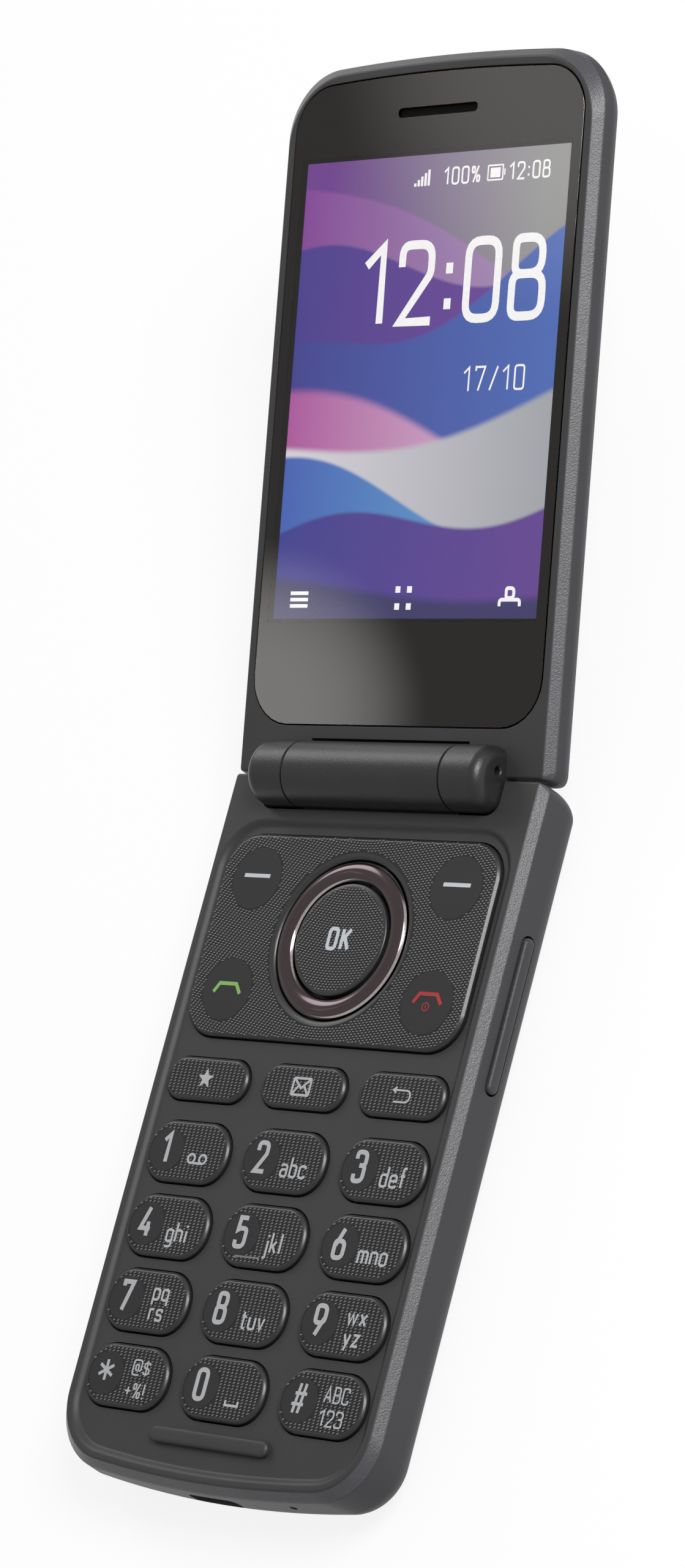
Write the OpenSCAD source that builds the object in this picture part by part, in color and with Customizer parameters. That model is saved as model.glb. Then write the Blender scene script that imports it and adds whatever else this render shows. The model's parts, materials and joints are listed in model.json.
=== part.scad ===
// Flip phone, open, lying on its back: a base with the keypad, a lid with the display,
// and a knuckle hinge between them. X runs across the phone, Y from the user's end to the
// hinge, Z up from the table. The origin is the middle of the base's flat back.

/* [Display] */
// Width of the lit picture
picture_w = 43.2; // [40:0.1:46]
// Height of the lit picture
picture_h = 57.6; // [54:0.1:61]
// Glass beside the picture, each side
glass_beside = 2.05; // [1.8:0.05:3]
// Glass above the picture
glass_above = 10.3; // [9.5:0.1:13]
// Glass below the picture
glass_below = 13.3; // [12:0.1:16]
// Thickness of the display glass
glass_t = 0.9; // [0.7:0.05:1.3]
// Corner radius of the display glass
glass_r = 6.1; // [4:0.1:8]
// Thickness of the display panel
panel_t = 1.9; // [1.6:0.1:2.6]
// Length of the earpiece slot
ear_l = 13; // [9:0.1:16]
// Height of the earpiece slot
ear_h = 1.2; // [1:0.1:1.6]

/* [Lid] */
// From the lid's hinge edge to the glass
lid_foot = 6; // [5.5:0.1:8]
// Depth of the lid's straight side wall
lid_side = 2.2; // [1.8:0.1:3]
// Depth at which the lid's back cover meets its front frame
lid_part = 4.2; // [3.9:0.1:4.8]
// Ledge that the glass sits on
ledge_t = 0.8; // [0.6:0.05:1.1]
// Thickness of the lid's circuit board
lid_board_t = 0.6; // [0.5:0.1:1]
// Thickness of the small outer display
outer_panel_t = 1.9; // [1.5:0.1:2.4]
// Width of the outer window
outer_w = 34; // [26:0.5:36]
// Height of the outer window
outer_h = 38; // [28:0.5:40]
// Radius of the camera lens cover
lens_r = 4.2; // [3.4:0.1:5]
// Wall of the lid's back cover
back_wall = 1; // [0.9:0.05:1.3]
// Radius of the lid's gently arched top edge
lid_arch_r = 280; // [150:10:400]

/* [Shells] */
// Flat rim round the glass and round the keypad
rim_w = 1.1; // [0.7:0.05:1.5]
// Chamfer along the front edges
edge_chamfer = 1; // [0.6:0.05:1.3]
// How far the side walls flare out below the chamfer
flare = 0.4; // [0.2:0.05:0.8]
// How much tighter the far corners get from the front edge to the sides
corner_draw = 2.6; // [0:0.1:4]
// Side wall of both housings
wall = 1.5; // [1.2:0.05:1.8]
// How far the rounding of the backs reaches in from the sides
back_round = 7.2; // [5:0.1:9]

/* [Hinge] */
// Angle of the lid from closed when it is fully open
open_deg = 164.7; // [150:0.1:175]
// Radius of the hinge barrel
barrel_r = 4.15; // [4:0.05:4.3]
// Length of the base's middle knuckle
mid_knuckle_l = 25.6; // [24:0.1:28]
// Length of each lid knuckle
end_knuckle_l = 6.2; // [5.8:0.1:7]
// Rounding of the lid knuckles' outer ends
knuckle_round = 1.6; // [0.6:0.1:1.7]
// Height of the hinge axis over the base's rim
base_drop = 0.8; // [0.7:0.05:1.2]
// Height of the hinge axis over the lid's face
lid_drop = 1.25; // [1.2:0.05:1.5]
// How far the base's edge reaches past the hinge axis
base_reach = 0.2; // [0.1:0.05:0.3]
// From the hinge axis to the lid's edge
lid_short = 0.25; // [0.2:0.05:0.6]
// Free space round the lid knuckles in the base's notches
notch_gap = 0.3; // [0.25:0.05:0.6]
// Radius of the bore through the middle knuckle
hinge_bore_r = 2.56; // [2.4:0.01:2.7]
// Radius of the hinge shaft
shaft_r = 0.8; // [0.6:0.05:0.9]

/* [Base] */
// Wall of the battery cover
cover_wall = 1.1; // [0.9:0.05:1.4]
// Depth of the base's straight side wall
base_side = 5; // [4.5:0.1:5.6]
// Height at which the battery cover meets the front housing
part_z = 2.6; // [2.3:0.05:2.9]
// Thickness of the battery
battery_t = 3.6; // [3.4:0.1:5]
// Floor of the inner chassis
chassis_floor = 0.6; // [0.5:0.05:1]
// Thickness of the main circuit board
board_t = 0.8; // [0.6:0.05:1.2]
// Outer corner radius at the user's end
base_far_r = 9.3; // [7:0.1:11]
// Radius of the base's arched bottom edge
base_arch_r = 160; // [120:10:300]
// From the base's hinge edge to the nav plate
head_l = 7.9; // [7.6:0.05:9]
// From the bumper to the edge of the keypad recess
chin_l = 2.95; // [2.4:0.05:4]

/* [Keypad] */
// Depth of the keypad recess below the rim
recess_d = 0.6; // [0.4:0.05:0.9]
// Thickness of the keypad floor
floor_t = 1; // [0.9:0.05:1.4]
// From the recess edge to the outer keys
key_margin = 0.85; // [0.7:0.05:1.5]
// Space between columns of keys
column_gap = 2.4; // [1.8:0.05:3]
// Space between rows of digit keys
row_gap = 1.64; // [1.5:0.02:2.2]
// Height of a digit key, along the phone
digit_h = 7.8; // [7:0.1:8.6]
// Height of a function key, along the phone
fn_h = 5.5; // [5:0.1:6.5]
// Space between nav plate and function keys
fn_gap = 2.8; // [2:0.05:3.6]
// Space between function keys and digit keys
digit_gap = 2.7; // [2:0.05:3.6]
// How far key tops stand above the keypad floor
key_rise = 0.75; // [0.6:0.05:1]
// Travel of every key
key_travel = 0.3; // [0.2:0.02:0.4]
// Free space round a key in its hole
key_clear = 0.2; // [0.15:0.01:0.3]
// Length of the bumper bar
bumper_l = 19.2; // [14:0.1:24]
// Width of the bumper bar
bumper_w = 2; // [1.6:0.1:2.6]
// How far the bumper stands above the keypad floor
bumper_rise = 0.9; // [0.7:0.05:1.2]

/* [Navigation] */
// Height of the nav plate, along the phone
nav_h = 26.4; // [25.5:0.1:29]
// From the recess edge to the nav plate, at the sides
nav_margin = 1.2; // [0.9:0.05:1.6]
// Corner radius of the nav plate
nav_r = 4.8; // [3.5:0.1:6]
// How far the nav plate stands above the rim
nav_rise = 0.25; // [0.1:0.05:0.4]
// From the nav ring to the long edges of the nav plate
ring_edge = 3.07; // [2.9:0.01:3.6]
// Width of the nav ring's band
ring_band = 2.58; // [2.2:0.02:2.9]
// How far the ring stands above the nav plate
ring_rise = 0.35; // [0.1:0.05:0.4]
// Tilt of the ring each way
ring_tilt = 1.5; // [1:0.1:1.6]
// Tilt of the plate each way
plate_tilt = 0.7; // [0.4:0.05:0.8]

/* [Side and end] */
// Length of the side rocker
rocker_l = 19.4; // [16:0.1:22]
// Height of the side rocker
rocker_h = 1.8; // [1.6:0.05:2.4]
// How far the side rocker stands proud
rocker_rise = 0.4; // [0.2:0.05:0.6]
// Tilt of the side rocker each way
rock_tilt = 1.8; // [1:0.1:2]
// From the base's hinge edge to the middle of the side rocker
rocker_s = 28.1; // [24:0.1:32]
// Width of the charging socket
usb_w = 7.4; // [7:0.1:8.8]
// Height of the charging socket
usb_h = 2.4; // [2.2:0.05:2.6]
// Distance of the microphone hole from the middle
mic_x = 13; // [11.5:0.1:13.5]

/* [Hidden] */
$fn = 48;

// Small clearances
seat_gap = 0.1;
stop_gap = 0.05;
run_gap = 0.06;
roll_gap = 0.02;
slice_t = 0.02;
reach = 200;

// Plan of both halves
edge_in = rim_w + edge_chamfer + flare;
half_w = picture_w / 2 + glass_beside + edge_in;
tilt = 180 - open_deg;

// Rows of the keypad, as distances from the base's hinge edge
nav_s = head_l + nav_h / 2;
fn_s = head_l + nav_h + fn_gap + fn_h / 2;
digit_s = fn_s + fn_h / 2 + digit_gap + digit_h / 2;
row_pitch = digit_h + row_gap;
rows = 4;
keys_end = digit_s + (rows - 1) * row_pitch + digit_h / 2;
bumper_gap = 1.4;
bumper_s = keys_end + bumper_gap + bumper_w / 2;
base_l = bumper_s + bumper_w / 2 + chin_l + edge_in;
recess_half = half_w - edge_in;
column_pitch = (2 * (recess_half - key_margin) + column_gap) / 3;
key_w = column_pitch - column_gap;
digit_r = 3.7;
fn_r = 2.7;
nav_w = 2 * (recess_half - nav_margin);
recess_head = 1.6;
recess_s = head_l - recess_head;
crown_h = 0.35;
crown_in = 0.9;
mat_in = 1.5;
mat_rim = 1;
mat_s = (fn_s - fn_h / 2 + keys_end) / 2;
mat_l = keys_end - fn_s + fn_h / 2;
mat_w = 2 * (column_pitch + key_w / 2 - mat_in);

// Heights in the base, up from its back
sheet_t = 0.1;
dome_h = 0.2;
mat_air = 0.3;
mat_t = 0.5;
flange_t = 0.4;
flange_lip = 0.5;
near_wall = wall + 1;
battery_z0 = cover_wall + seat_gap;
battery_z1 = battery_z0 + battery_t;
chassis_z0 = battery_z1 + seat_gap;
chassis_z1 = chassis_z0 + chassis_floor;
board_z1 = chassis_z1 + board_t;
sheet_z1 = board_z1 + sheet_t;
dome_z1 = sheet_z1 + dome_h;
stem_z0 = dome_z1 + key_travel + stop_gap;
mat_z0 = sheet_z1 + mat_air;
mat_z1 = mat_z0 + mat_t;
flange_z0 = mat_z1 + key_travel + stop_gap;
flange_z1 = flange_z0 + flange_t;
under_z = flange_z1 + stop_gap;
floor_z = under_z + floor_t;
base_t = floor_z + recess_d;
key_z1 = floor_z + key_rise;

// Hinge
axis_y = base_l / 2 - base_reach;
axis_z = base_t + base_drop;
mid_half = mid_knuckle_l / 2;
knuckle_gap = 0.2;
barrel_half = mid_half + knuckle_gap + end_knuckle_l;
swing_gap = 0.35;
notch_r = barrel_r + notch_gap;
notch_wall = 0.9;
groove_d = 0.8;
bush_r = hinge_bore_r - run_gap;
can_r = hinge_bore_r - run_gap;
can_wall = 0.5;
can_l = 14.4;
can_x1 = mid_half - seat_gap;
can_x0 = can_x1 - can_l;
cam_l = 1.5;
cam_x1 = can_x1 - can_wall - seat_gap;
cam_x0 = cam_x1 - cam_l;
follower_x1 = cam_x0 - seat_gap;
follower_l = 1.6;
follower_x0 = follower_x1 - follower_l;
inside_r = can_r - can_wall;
spring_curls = 8;
wire_r = 0.22;
spring_r = (inside_r + shaft_r) / 2 + stop_gap;
spring_x0 = can_x0 + can_wall + wire_r + stop_gap;
spring_pitch = (follower_x0 - wire_r - stop_gap - spring_x0) / spring_curls;
rings = 8 * spring_curls;
sides = 6;
drive_w = 3;
drive_l = 4;
bush_half = 2.6;
bush_wall = 0.8;
bush_hole_r = bush_r - bush_wall;
flex_roll_r = 1;
flex_t = 0.15;
flex_w = 3;
flex_x0 = bush_half - mid_half + 0.6;
flex_slot_w = flex_w + 0.5;
flex_slot_x = flex_x0 - 0.25;
flex_slot_y0 = base_reach - wall - 0.1;
flex_slot_y1 = base_reach - 0.5;
flex_slot_z0 = board_z1 - axis_z - 0.1;
flex_riser_y = flex_slot_y0 + 0.45;
flex_lid_w = flex_w - 0.6;
flex_lid_x0 = 1.3 - barrel_half;
flex_lid_v = 1.2;
end_hole_r = 0.5;
end_hole_v = 1;
end_hole_up = 0.3;

// Nav cluster
ring_r = nav_h / 2 - ring_edge;
ring_hole_r = ring_r - ring_band;
pivot_r = 0.5;
pad_z0 = sheet_z1 + pivot_r + roll_gap;
pad_t = 0.4;
pad_z1 = pad_z0 + pad_t;
ridge_r = 0.35;
web_z0 = pad_z1 + ridge_r + roll_gap;
web_t = 0.36;
web_z1 = web_z0 + web_t;
nav_z1 = base_t + nav_rise;
ring_z1 = nav_z1 + ring_rise;
both_tilts = sqrt(2) * (ring_tilt + plate_tilt);
ok_gap = 0.35;
ok_r = ring_hole_r - ok_gap;
ok_z0 = web_z1 + key_travel + ok_r * tan(sqrt(2) * ring_tilt) + stop_gap;
ok_drop = 0.2;
ok_z1 = ring_z1 - ok_drop;
ring_well_r = ring_r + 0.32;
well_lip_r = ring_r + 1.02;
web_r = ring_r + 1.15;
plate_room_r = web_r + 0.6;
plate_room_z = web_z1 + web_r * tan(both_tilts) + 0.1;
ring_pad_r = ring_r - 1.1;
plate_pad_hole_r = plate_room_r + 0.3;
stem_r = 1.5;
stem_hole_r = stem_r + 0.4;
corner_x = nav_w / 2 - 6;
corner_y = 7.25;
dome_r = min(1.7, fn_h / 2 - mat_rim - stop_gap);
dome_top_r = dome_r - 0.6;
dome_ring_r = ring_r - 2.3;
dome_places = concat(
    [for (c = [-1:1]) [c * column_pitch, fn_s]],
    [for (r = [0:rows - 1], c = [-1:1]) [c * column_pitch, digit_s + r * row_pitch]],
    [[0, nav_s]],
    [for (a = [0:90:270]) [dome_ring_r * cos(a), nav_s + dome_ring_r * sin(a)]],
    [for (x = [-1, 1], y = [-1, 1]) [x * corner_x, nav_s + y * corner_y]]);

// Rooms in the base, as distances from its hinge edge
hinge_room = notch_r + notch_wall + 0.3 + base_reach;
tail_l = 22.2;
bay_wall = 1;
bay_s0 = hinge_room + 5.6;
contact_l = 1.2;
bay_s1 = base_l - tail_l - bay_wall;
battery_l = bay_s1 - bay_s0 - contact_l - 2 * seat_gap;
bay_side = 6.45;
battery_w = 2 * (half_w - wall - bay_side);
boss_r = 1.5;
screw_r = 0.6;
screw_head_r = 1.2;
screw_head_t = 0.7;
ear_screw = [half_w - wall - boss_r - 0.6, near_wall + boss_r + 0.6];
tail_screw = [half_w - wall - 6, base_l - wall - boss_r - 1.2];
board_in = wall + 1.65;
usb_l = 5.5;
usb_z0 = chassis_z1 - usb_h / 2;
usb_room = 0.3;
usb_wall = 0.3;
speaker_size = [15, 12, 3.2];
sim_size = [17, 13, 1.5];
motor_r = 3.4;
speaker_x = -(usb_w / 2 + 1 + speaker_size[0] / 2);
speaker_s = base_l - tail_l + 0.6 + speaker_size[1] / 2;
grille_pitch = 2.6;
grille_r = 0.6;

// Side rocker
rocker_z = base_t - 3 - rocker_h / 2;
rocker_end_r = rocker_h / 2 - stop_gap;
rocker_lip = 0.5;
rock_gap = (rocker_l / 2 + rocker_lip) * tan(rock_tilt) + 0.08;
rocker_x1 = half_w - wall - rock_gap;
rocker_x0 = rocker_x1 - rocker_lip - 0.1;
rock_pivot_r = 0.4;
rib_x = rocker_x0 - rock_pivot_r - roll_gap;
switch_size = [1.2, 3, 0.6];
switch_x = rocker_x0 - rock_gap - seat_gap - switch_size[0] / 2;

// Lid, measured from the hinge axis along the lid and down from its face
glass_v0 = lid_foot + lid_short;
picture_v0 = glass_v0 + glass_below;
picture_v1 = picture_v0 + picture_h;
picture_v = (picture_v0 + picture_v1) / 2;
glass_v1 = picture_v1 + glass_above;
lid_v1 = glass_v1 + edge_in;
ear_v = picture_v1 + glass_above / 2 + 0.25;
panel_edge = 1.2;
panel_foot = 3.5;
panel_w = picture_w + 2 * panel_edge;
panel_v0 = picture_v0 - panel_foot;
panel_v1 = picture_v1 + panel_edge;
ledge_z = -glass_t - ledge_t;
panel_z0 = -glass_t - panel_t;
lid_board_z0 = panel_z0 - lid_board_t;
lid_board_in = 2.5;
lid_board_foot = 5;
lid_board_v0 = glass_v0 + lid_board_foot;
speaker_h = 5;
speaker_t = 2.2;
magnet_l = 6;
magnet_w = 3;
magnet_t = 1;
magnet_v = 2.6;
camera_w = 8;
camera_t = 1.6;
lid_board_v1 = panel_v1 - 1;
outer_panel_z0 = lid_board_z0 - outer_panel_t;
lid_t = -outer_panel_z0 + 0.3 + back_wall;
window_t = back_wall - 0.4;
window_lip = 2;
outer_foot = 4;
outer_v = picture_v0 + outer_h / 2 + outer_foot;
lens_v = outer_v + outer_h / 2 + lens_r + 3;
lid_screw_at = [[half_w - wall - 3.1, glass_v0 + 4.6], [half_w - wall - 6.4, glass_v1 - 3.2]];
lid_near_r = 1;
lid_near_draw = 1.4;
base_near_r = 1.4;
base_near_draw = 0.8;

// Plan outlines: a straight end at y0, and an arched end at y1 with large corners.
// d insets the sides and the arched end, e insets the straight end.
function arc(cx, cy, r, a0, a1, n) =
    [for (i = [0:n]) [cx + r * cos(a0 + (a1 - a0) * i / n), cy + r * sin(a0 + (a1 - a0) * i / n)]];
function crown(cy, r, a, n) =
    [for (i = [1:n - 1]) [r * cos(a + (180 - 2 * a) * i / n), cy + r * sin(a + (180 - 2 * a) * i / n)]];
function plan(hw, y0, r0, y1, r1, arch, d, e) =
    let (
        h = hw - d,
        far_r = max(r1 - d, 0.4),
        near_r = max(r0 - d, 0.4),
        big_r = arch - d,
        big_y = y1 - d - big_r,
        far_y = big_y + sqrt(pow(big_r - far_r, 2) - pow(h - far_r, 2)),
        a = atan2(far_y - big_y, h - far_r)
    )
    concat(
        arc(h - near_r, y0 + e + near_r, near_r, -90, 0, 4),
        arc(h - far_r, far_y, far_r, 0, a, 8),
        crown(big_y, big_r, a, 8),
        arc(far_r - h, far_y, far_r, 180 - a, 180, 8),
        arc(near_r - h, y0 + e + near_r, near_r, 180, 270, 4));

// Inset of a side at a depth: nothing down to start, then a quarter ellipse to the back
function tuck(depth, start, total, in) =
    depth <= start ? 0 : in * (1 - sqrt(max(0, 1 - pow((depth - start) / (total - start), 2))));
function depths(start, total) =
    concat([0, edge_chamfer], [for (i = [0:6]) start + (total - start) * sin(15 * i)]);
function side_in(depth, start, total) =
    depth == 0 ? edge_chamfer + flare :
    depth == edge_chamfer ? flare : tuck(depth, start, total, back_round);

module rounded(w, h, r) {
    k = min(r, h / 2 - 0.01, w / 2 - 0.01);
    square([w - 2 * k, h], center = true);
    square([w, h - 2 * k], center = true);
    for (x = [-1, 1], y = [-1, 1]) translate([x * (w / 2 - k), y * (h / 2 - k)]) circle(k);
}
module layer(z0, z1) {
    translate([0, 0, z0]) linear_extrude(z1 - z0) children();
}
module room(w, s0, s1, z0, z1) {
    translate([-w / 2, base_l / 2 - s1, z0]) cube([w, s1 - s0, z1 - z0]);
}
module at(x, s) {
    translate([x, base_l / 2 - s, 0]) children();
}
module both_sides() {
    children();
    mirror([1, 0, 0]) children();
}
module rod(r, x0, x1) {
    translate([x0, 0, 0]) rotate([0, 90, 0]) cylinder(r = r, h = x1 - x0);
}
module knuckle(r, x0, x1, k) {
    translate([x0, 0, 0]) rotate([0, 90, 0]) rotate_extrude() {
        square([r - k, x1 - x0]);
        square([r, x1 - x0 - k]);
        translate([r - k, x1 - x0 - k]) circle(k);
    }
}
module hinge_line() {
    translate([0, axis_y, axis_z]) children();
}
module hinge_open() {
    hinge_line() rotate([tilt, 0, 0]) children();
}
module on_lid() {
    hinge_open() translate([0, 0, -lid_drop]) children();
}

// Outer forms of the two halves
module base_plan(d, e, part = 1) {
    translate([0, base_l / 2]) mirror([0, 1])
        polygon(plan(half_w, 0, base_near_r + base_near_draw * part, base_l,
            base_far_r - corner_draw * part, base_arch_r, d, e));
}
module base_form(shrink) {
    total = base_t - shrink;
    hull() for (depth = depths(base_side, total))
        translate([0, 0, base_t - depth - slice_t * (1 - depth / total)]) linear_extrude(slice_t)
            base_plan(side_in(depth, base_side, total) + shrink,
                tuck(depth, base_side - 1.7, total, back_round) + shrink, min(1, depth / base_side));
}
module base_upper() {
    intersection() {
        base_form(0);
        layer(part_z, base_t + 1) square(reach, center = true);
    }
}
module lid_plan(d, e, part = 1) {
    polygon(plan(half_w, lid_short, lid_near_r + lid_near_draw * part, lid_v1,
        glass_r + edge_in - corner_draw * part, lid_arch_r, d, e));
}
module lid_form(shrink) {
    total = lid_t - shrink;
    hull() for (depth = depths(lid_side, total))
        translate([0, 0, -depth - slice_t * (1 - depth / total)]) linear_extrude(slice_t)
            lid_plan(side_in(depth, lid_side, total) + shrink,
                tuck(depth, lid_side, total, back_round / 2) + shrink - depth * tan(tilt),
                min(1, depth / lid_side));
}
module glass_plan(grow) {
    polygon(plan(half_w - edge_in + grow, glass_v0 - grow, glass_r, glass_v1 + grow, glass_r,
        lid_arch_r - edge_in, 0, 0));
}

// Base shells
module notches() {
    both_sides() knuckle(notch_r, mid_half, barrel_half + notch_gap, knuckle_round + notch_gap);
}
module notch_walls() {
    both_sides() rod(notch_r + notch_wall, mid_half - notch_wall, barrel_half + notch_gap + notch_wall);
}
module base_bosses(r, z0, z1) {
    both_sides() {
        at(ear_screw[0], ear_screw[1]) layer(z0, z1) circle(r);
        at(tail_screw[0], tail_screw[1]) layer(z0, z1) circle(r);
    }
}
module key_holes(grow) {
    for (c = [-1:1]) {
        at(c * column_pitch, fn_s) rounded(key_w + 2 * grow, fn_h + 2 * grow, fn_r + grow);
        for (r = [0:rows - 1]) at(c * column_pitch, digit_s + r * row_pitch)
            rounded(key_w + 2 * grow, digit_h + 2 * grow, digit_r + grow);
    }
}
module rocker_outline(grow) {
    rounded(rocker_l + 2 * grow, rocker_h + 2 * grow, rocker_end_r + grow);
}
module through_side(x0, x1) {
    at(0, rocker_s) translate([x0, 0, rocker_z]) rotate([90, 0, 90]) linear_extrude(x1 - x0) children();
}
module base_front_housing() color("#3b3b3d") difference() {
    union() {
        difference() {
            base_upper();
            layer(part_z - 1, under_z) base_plan(wall, near_wall);
        }
        intersection() {
            base_upper();
            hinge_line() notch_walls();
        }
        hinge_line() rod(barrel_r, -mid_half, mid_half);
        base_bosses(boss_r, chassis_z1, under_z + 0.1);
    }
    layer(floor_z, base_t + 1) translate([0, base_l / 2]) mirror([0, 1])
        polygon(plan(recess_half, recess_s, nav_r + nav_margin, base_l - edge_in,
            base_far_r - edge_in, base_arch_r - edge_in, 0, 0));
    layer(under_z - 1, base_t + 1) key_holes(key_clear);
    layer(under_z - 1, base_t + 1) at(0, nav_s)
        rounded(nav_w + 2 * key_clear, nav_h + 2 * key_clear, nav_r + key_clear);
    at(0, bumper_s) layer(floor_z - floor_t / 2, base_t) rounded(bumper_l, bumper_w, bumper_w / 2);
    hinge_line() {
        notches();
        rod(hinge_bore_r, -mid_half - 1, mid_half + 1);
        difference() {
            rod(notch_r, -mid_half - 0.1, mid_half + 0.1);
            rod(barrel_r, -mid_half - 1, mid_half + 1);
            translate([-reach / 2, -reach / 2, -reach - base_drop - groove_d]) cube(reach);
            translate([-reach / 2, 0, -reach / 2]) cube(reach);
        }
        translate([flex_slot_x, flex_slot_y0, flex_slot_z0])
            cube([flex_slot_w, flex_slot_y1 - flex_slot_y0, -flex_slot_z0 - 0.1]);
        translate([flex_slot_x, base_reach - near_wall - 0.1, flex_slot_z0])
            cube([flex_slot_w, near_wall - wall + 0.2, 3 * flex_t + 0.1]);
    }
    room(usb_w + 2 * usb_room, base_l - usb_l, base_l + 1, usb_z0 - usb_room, usb_z0 + usb_h + usb_room);
    at(mic_x, base_l + 1) translate([0, 0, base_t - 3.3]) rotate([-90, 0, 0])
        cylinder(r = 0.5, h = 6);
    through_side(half_w - wall - 1, half_w + 1) rocker_outline(0.25);
    base_bosses(screw_r + stop_gap, chassis_z1 - 1, under_z);
}

module base_chassis() color("#55565a") difference() {
    union() {
        layer(chassis_z0, chassis_z1) base_plan(wall + seat_gap, near_wall + seat_gap);
        layer(battery_z0 + 0.3, chassis_z0) bay_outline(bay_wall);
    }
    layer(cover_wall, chassis_z0) bay_outline(0);
    room(2 * (barrel_half + 2), -1, hinge_room, chassis_z0 - 1, chassis_z1 + 1);
    usb_cut();
    at(rib_x, rocker_s) translate([0, -rocker_l / 2 - 1.5, chassis_z0 - 1])
        cube([wall + 4, rocker_l + 3, 3]);
    base_bosses(screw_r + 0.2, chassis_z0 - 1, chassis_z1 + 1);
}
module usb_cut() {
    room(usb_w + 2 * usb_room, base_l - usb_l - 1.5, base_l, chassis_z0 - 1, board_z1 + 1);
}
module bay_outline(grow) {
    at(0, (bay_s0 + bay_s1) / 2)
        square([battery_w + 2 * seat_gap + 2 * grow, bay_s1 - bay_s0 + 2 * grow], center = true);
}
module battery_cover() color("#343436") difference() {
    intersection() {
        base_form(0);
        layer(-1, part_z) square(reach, center = true);
    }
    base_form(cover_wall);
    for (i = [-2:2]) at(speaker_x + grille_pitch * i, speaker_s)
        layer(-1, cover_wall + 1) circle(grille_r);
}

// What the base holds
module battery() color("#1f2023")
    at(0, bay_s0 + seat_gap + battery_l / 2) layer(battery_z0, battery_z1)
        rounded(battery_w, battery_l, 1.5);
module battery_contacts() color("#caa24e")
    for (i = [-1:1]) at(4 * i, bay_s1 - contact_l / 2 - 0.02)
        layer(battery_z0 + 0.6, chassis_z0) square([1.4, contact_l - 0.04], center = true);
module main_board() color("#1f5a3a") difference() {
    layer(chassis_z1, board_z1) base_plan(board_in, hinge_room + 0.5);
    base_bosses(boss_r + 0.3, chassis_z1 - 1, board_z1 + 1);
    at(mic_x, base_l - wall) translate([-2.2, -1, chassis_z1 - 1]) cube([4.4, 4, 3]);
    usb_cut();
}
module dome_sheet() color("#c9c6bd") {
    at(0, (head_l + keys_end) / 2) layer(board_z1, sheet_z1)
        rounded(mat_w, keys_end - head_l - 1, 2);
    for (p = dome_places) at(p[0], p[1]) translate([0, 0, sheet_z1])
        cylinder(r1 = dome_r, r2 = dome_top_r, h = dome_h);
}
module pivot_bar(x0, x1) {
    at(0, nav_s) both_sides() intersection() {
        translate([0, 0, sheet_z1]) rod(pivot_r, x0, x1);
        layer(sheet_z1, base_t) square(reach, center = true);
    }
}
module keypad_mat() color("#8b8c90") {
    difference() {
        at(0, mat_s) layer(sheet_z1, mat_z1) rounded(mat_w, mat_l, 2);
        at(0, mat_s) layer(sheet_z1 - 1, mat_z0)
            rounded(mat_w - 2 * mat_rim, mat_l - 2 * mat_rim, mat_rim);
        for (c = [-1:1]) {
            at(c * column_pitch, fn_s) layer(mat_z0 - 1, mat_z1 + 1) circle(stem_hole_r);
            for (r = [0:rows - 1]) at(c * column_pitch, digit_s + r * row_pitch)
                layer(mat_z0 - 1, mat_z1 + 1) circle(stem_hole_r);
        }
    }
    pivot_bar(2.6, ring_r - 5);
    pivot_bar(plate_pad_hole_r + 0.5, nav_w / 2 - 2);
}
module usb_socket() color("#b9bcc0") at(0, base_l - 0.9 - usb_l / 2) {
    difference() {
        translate([0, 0, usb_z0 + usb_h / 2]) rotate([90, 0, 0]) linear_extrude(usb_l, center = true)
            rounded(usb_w, usb_h, 0.9);
        translate([0, -0.8, usb_z0 + usb_h / 2]) rotate([90, 0, 0]) linear_extrude(usb_l, center = true)
            rounded(usb_w - 2 * usb_wall, usb_h - 2 * usb_wall, 0.7);
    }
    translate([0, 0.3, usb_z0 + usb_h / 2 + 0.2]) cube([usb_w - 3, usb_l - 1.6, 0.5], center = true);
}
module microphone() color("#b0a070")
    at(mic_x, base_l - wall - 1.75) layer(chassis_z1, board_z1 + 0.8) square([3, 1.6], center = true);
module loudspeaker() color("#26272a")
    at(speaker_x, speaker_s) layer(chassis_z0 - speaker_size[2], chassis_z0)
        rounded(speaker_size[0], speaker_size[1], 2);
module sim_socket() color("#aeb1b5")
    at(usb_w / 2 + 0.5 + sim_size[0] / 2, base_l - tail_l + 0.6 + sim_size[1] / 2)
        layer(chassis_z0 - sim_size[2], chassis_z0) square([sim_size[0], sim_size[1]], center = true);
module vibration_motor() color("#c0c2c5")
    at(speaker_x + 2, speaker_s + speaker_size[1] / 2 + motor_r + 0.5)
        layer(part_z + seat_gap, chassis_z0) circle(motor_r);
module side_switches() color("#3a3b3e")
    for (i = [-1, 1]) at(switch_x, rocker_s + i * (rocker_l / 2 - switch_size[1]))
        layer(board_z1, board_z1 + switch_size[2])
            square([switch_size[0], switch_size[1]], center = true);
module base_screws() color("#7d8085") both_sides() for (p = [ear_screw, tail_screw]) at(p[0], p[1]) {
    translate([0, 0, chassis_z0 - screw_head_t]) cylinder(r = screw_head_r, h = screw_head_t);
    translate([0, 0, chassis_z0]) cylinder(r = screw_r, h = under_z - chassis_z0 - 0.4);
}
module lid_bumper() color("#2a2a2b")
    at(0, bumper_s) layer(floor_z - floor_t / 2, floor_z + bumper_rise)
        rounded(bumper_l, bumper_w, bumper_w / 2);

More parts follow.
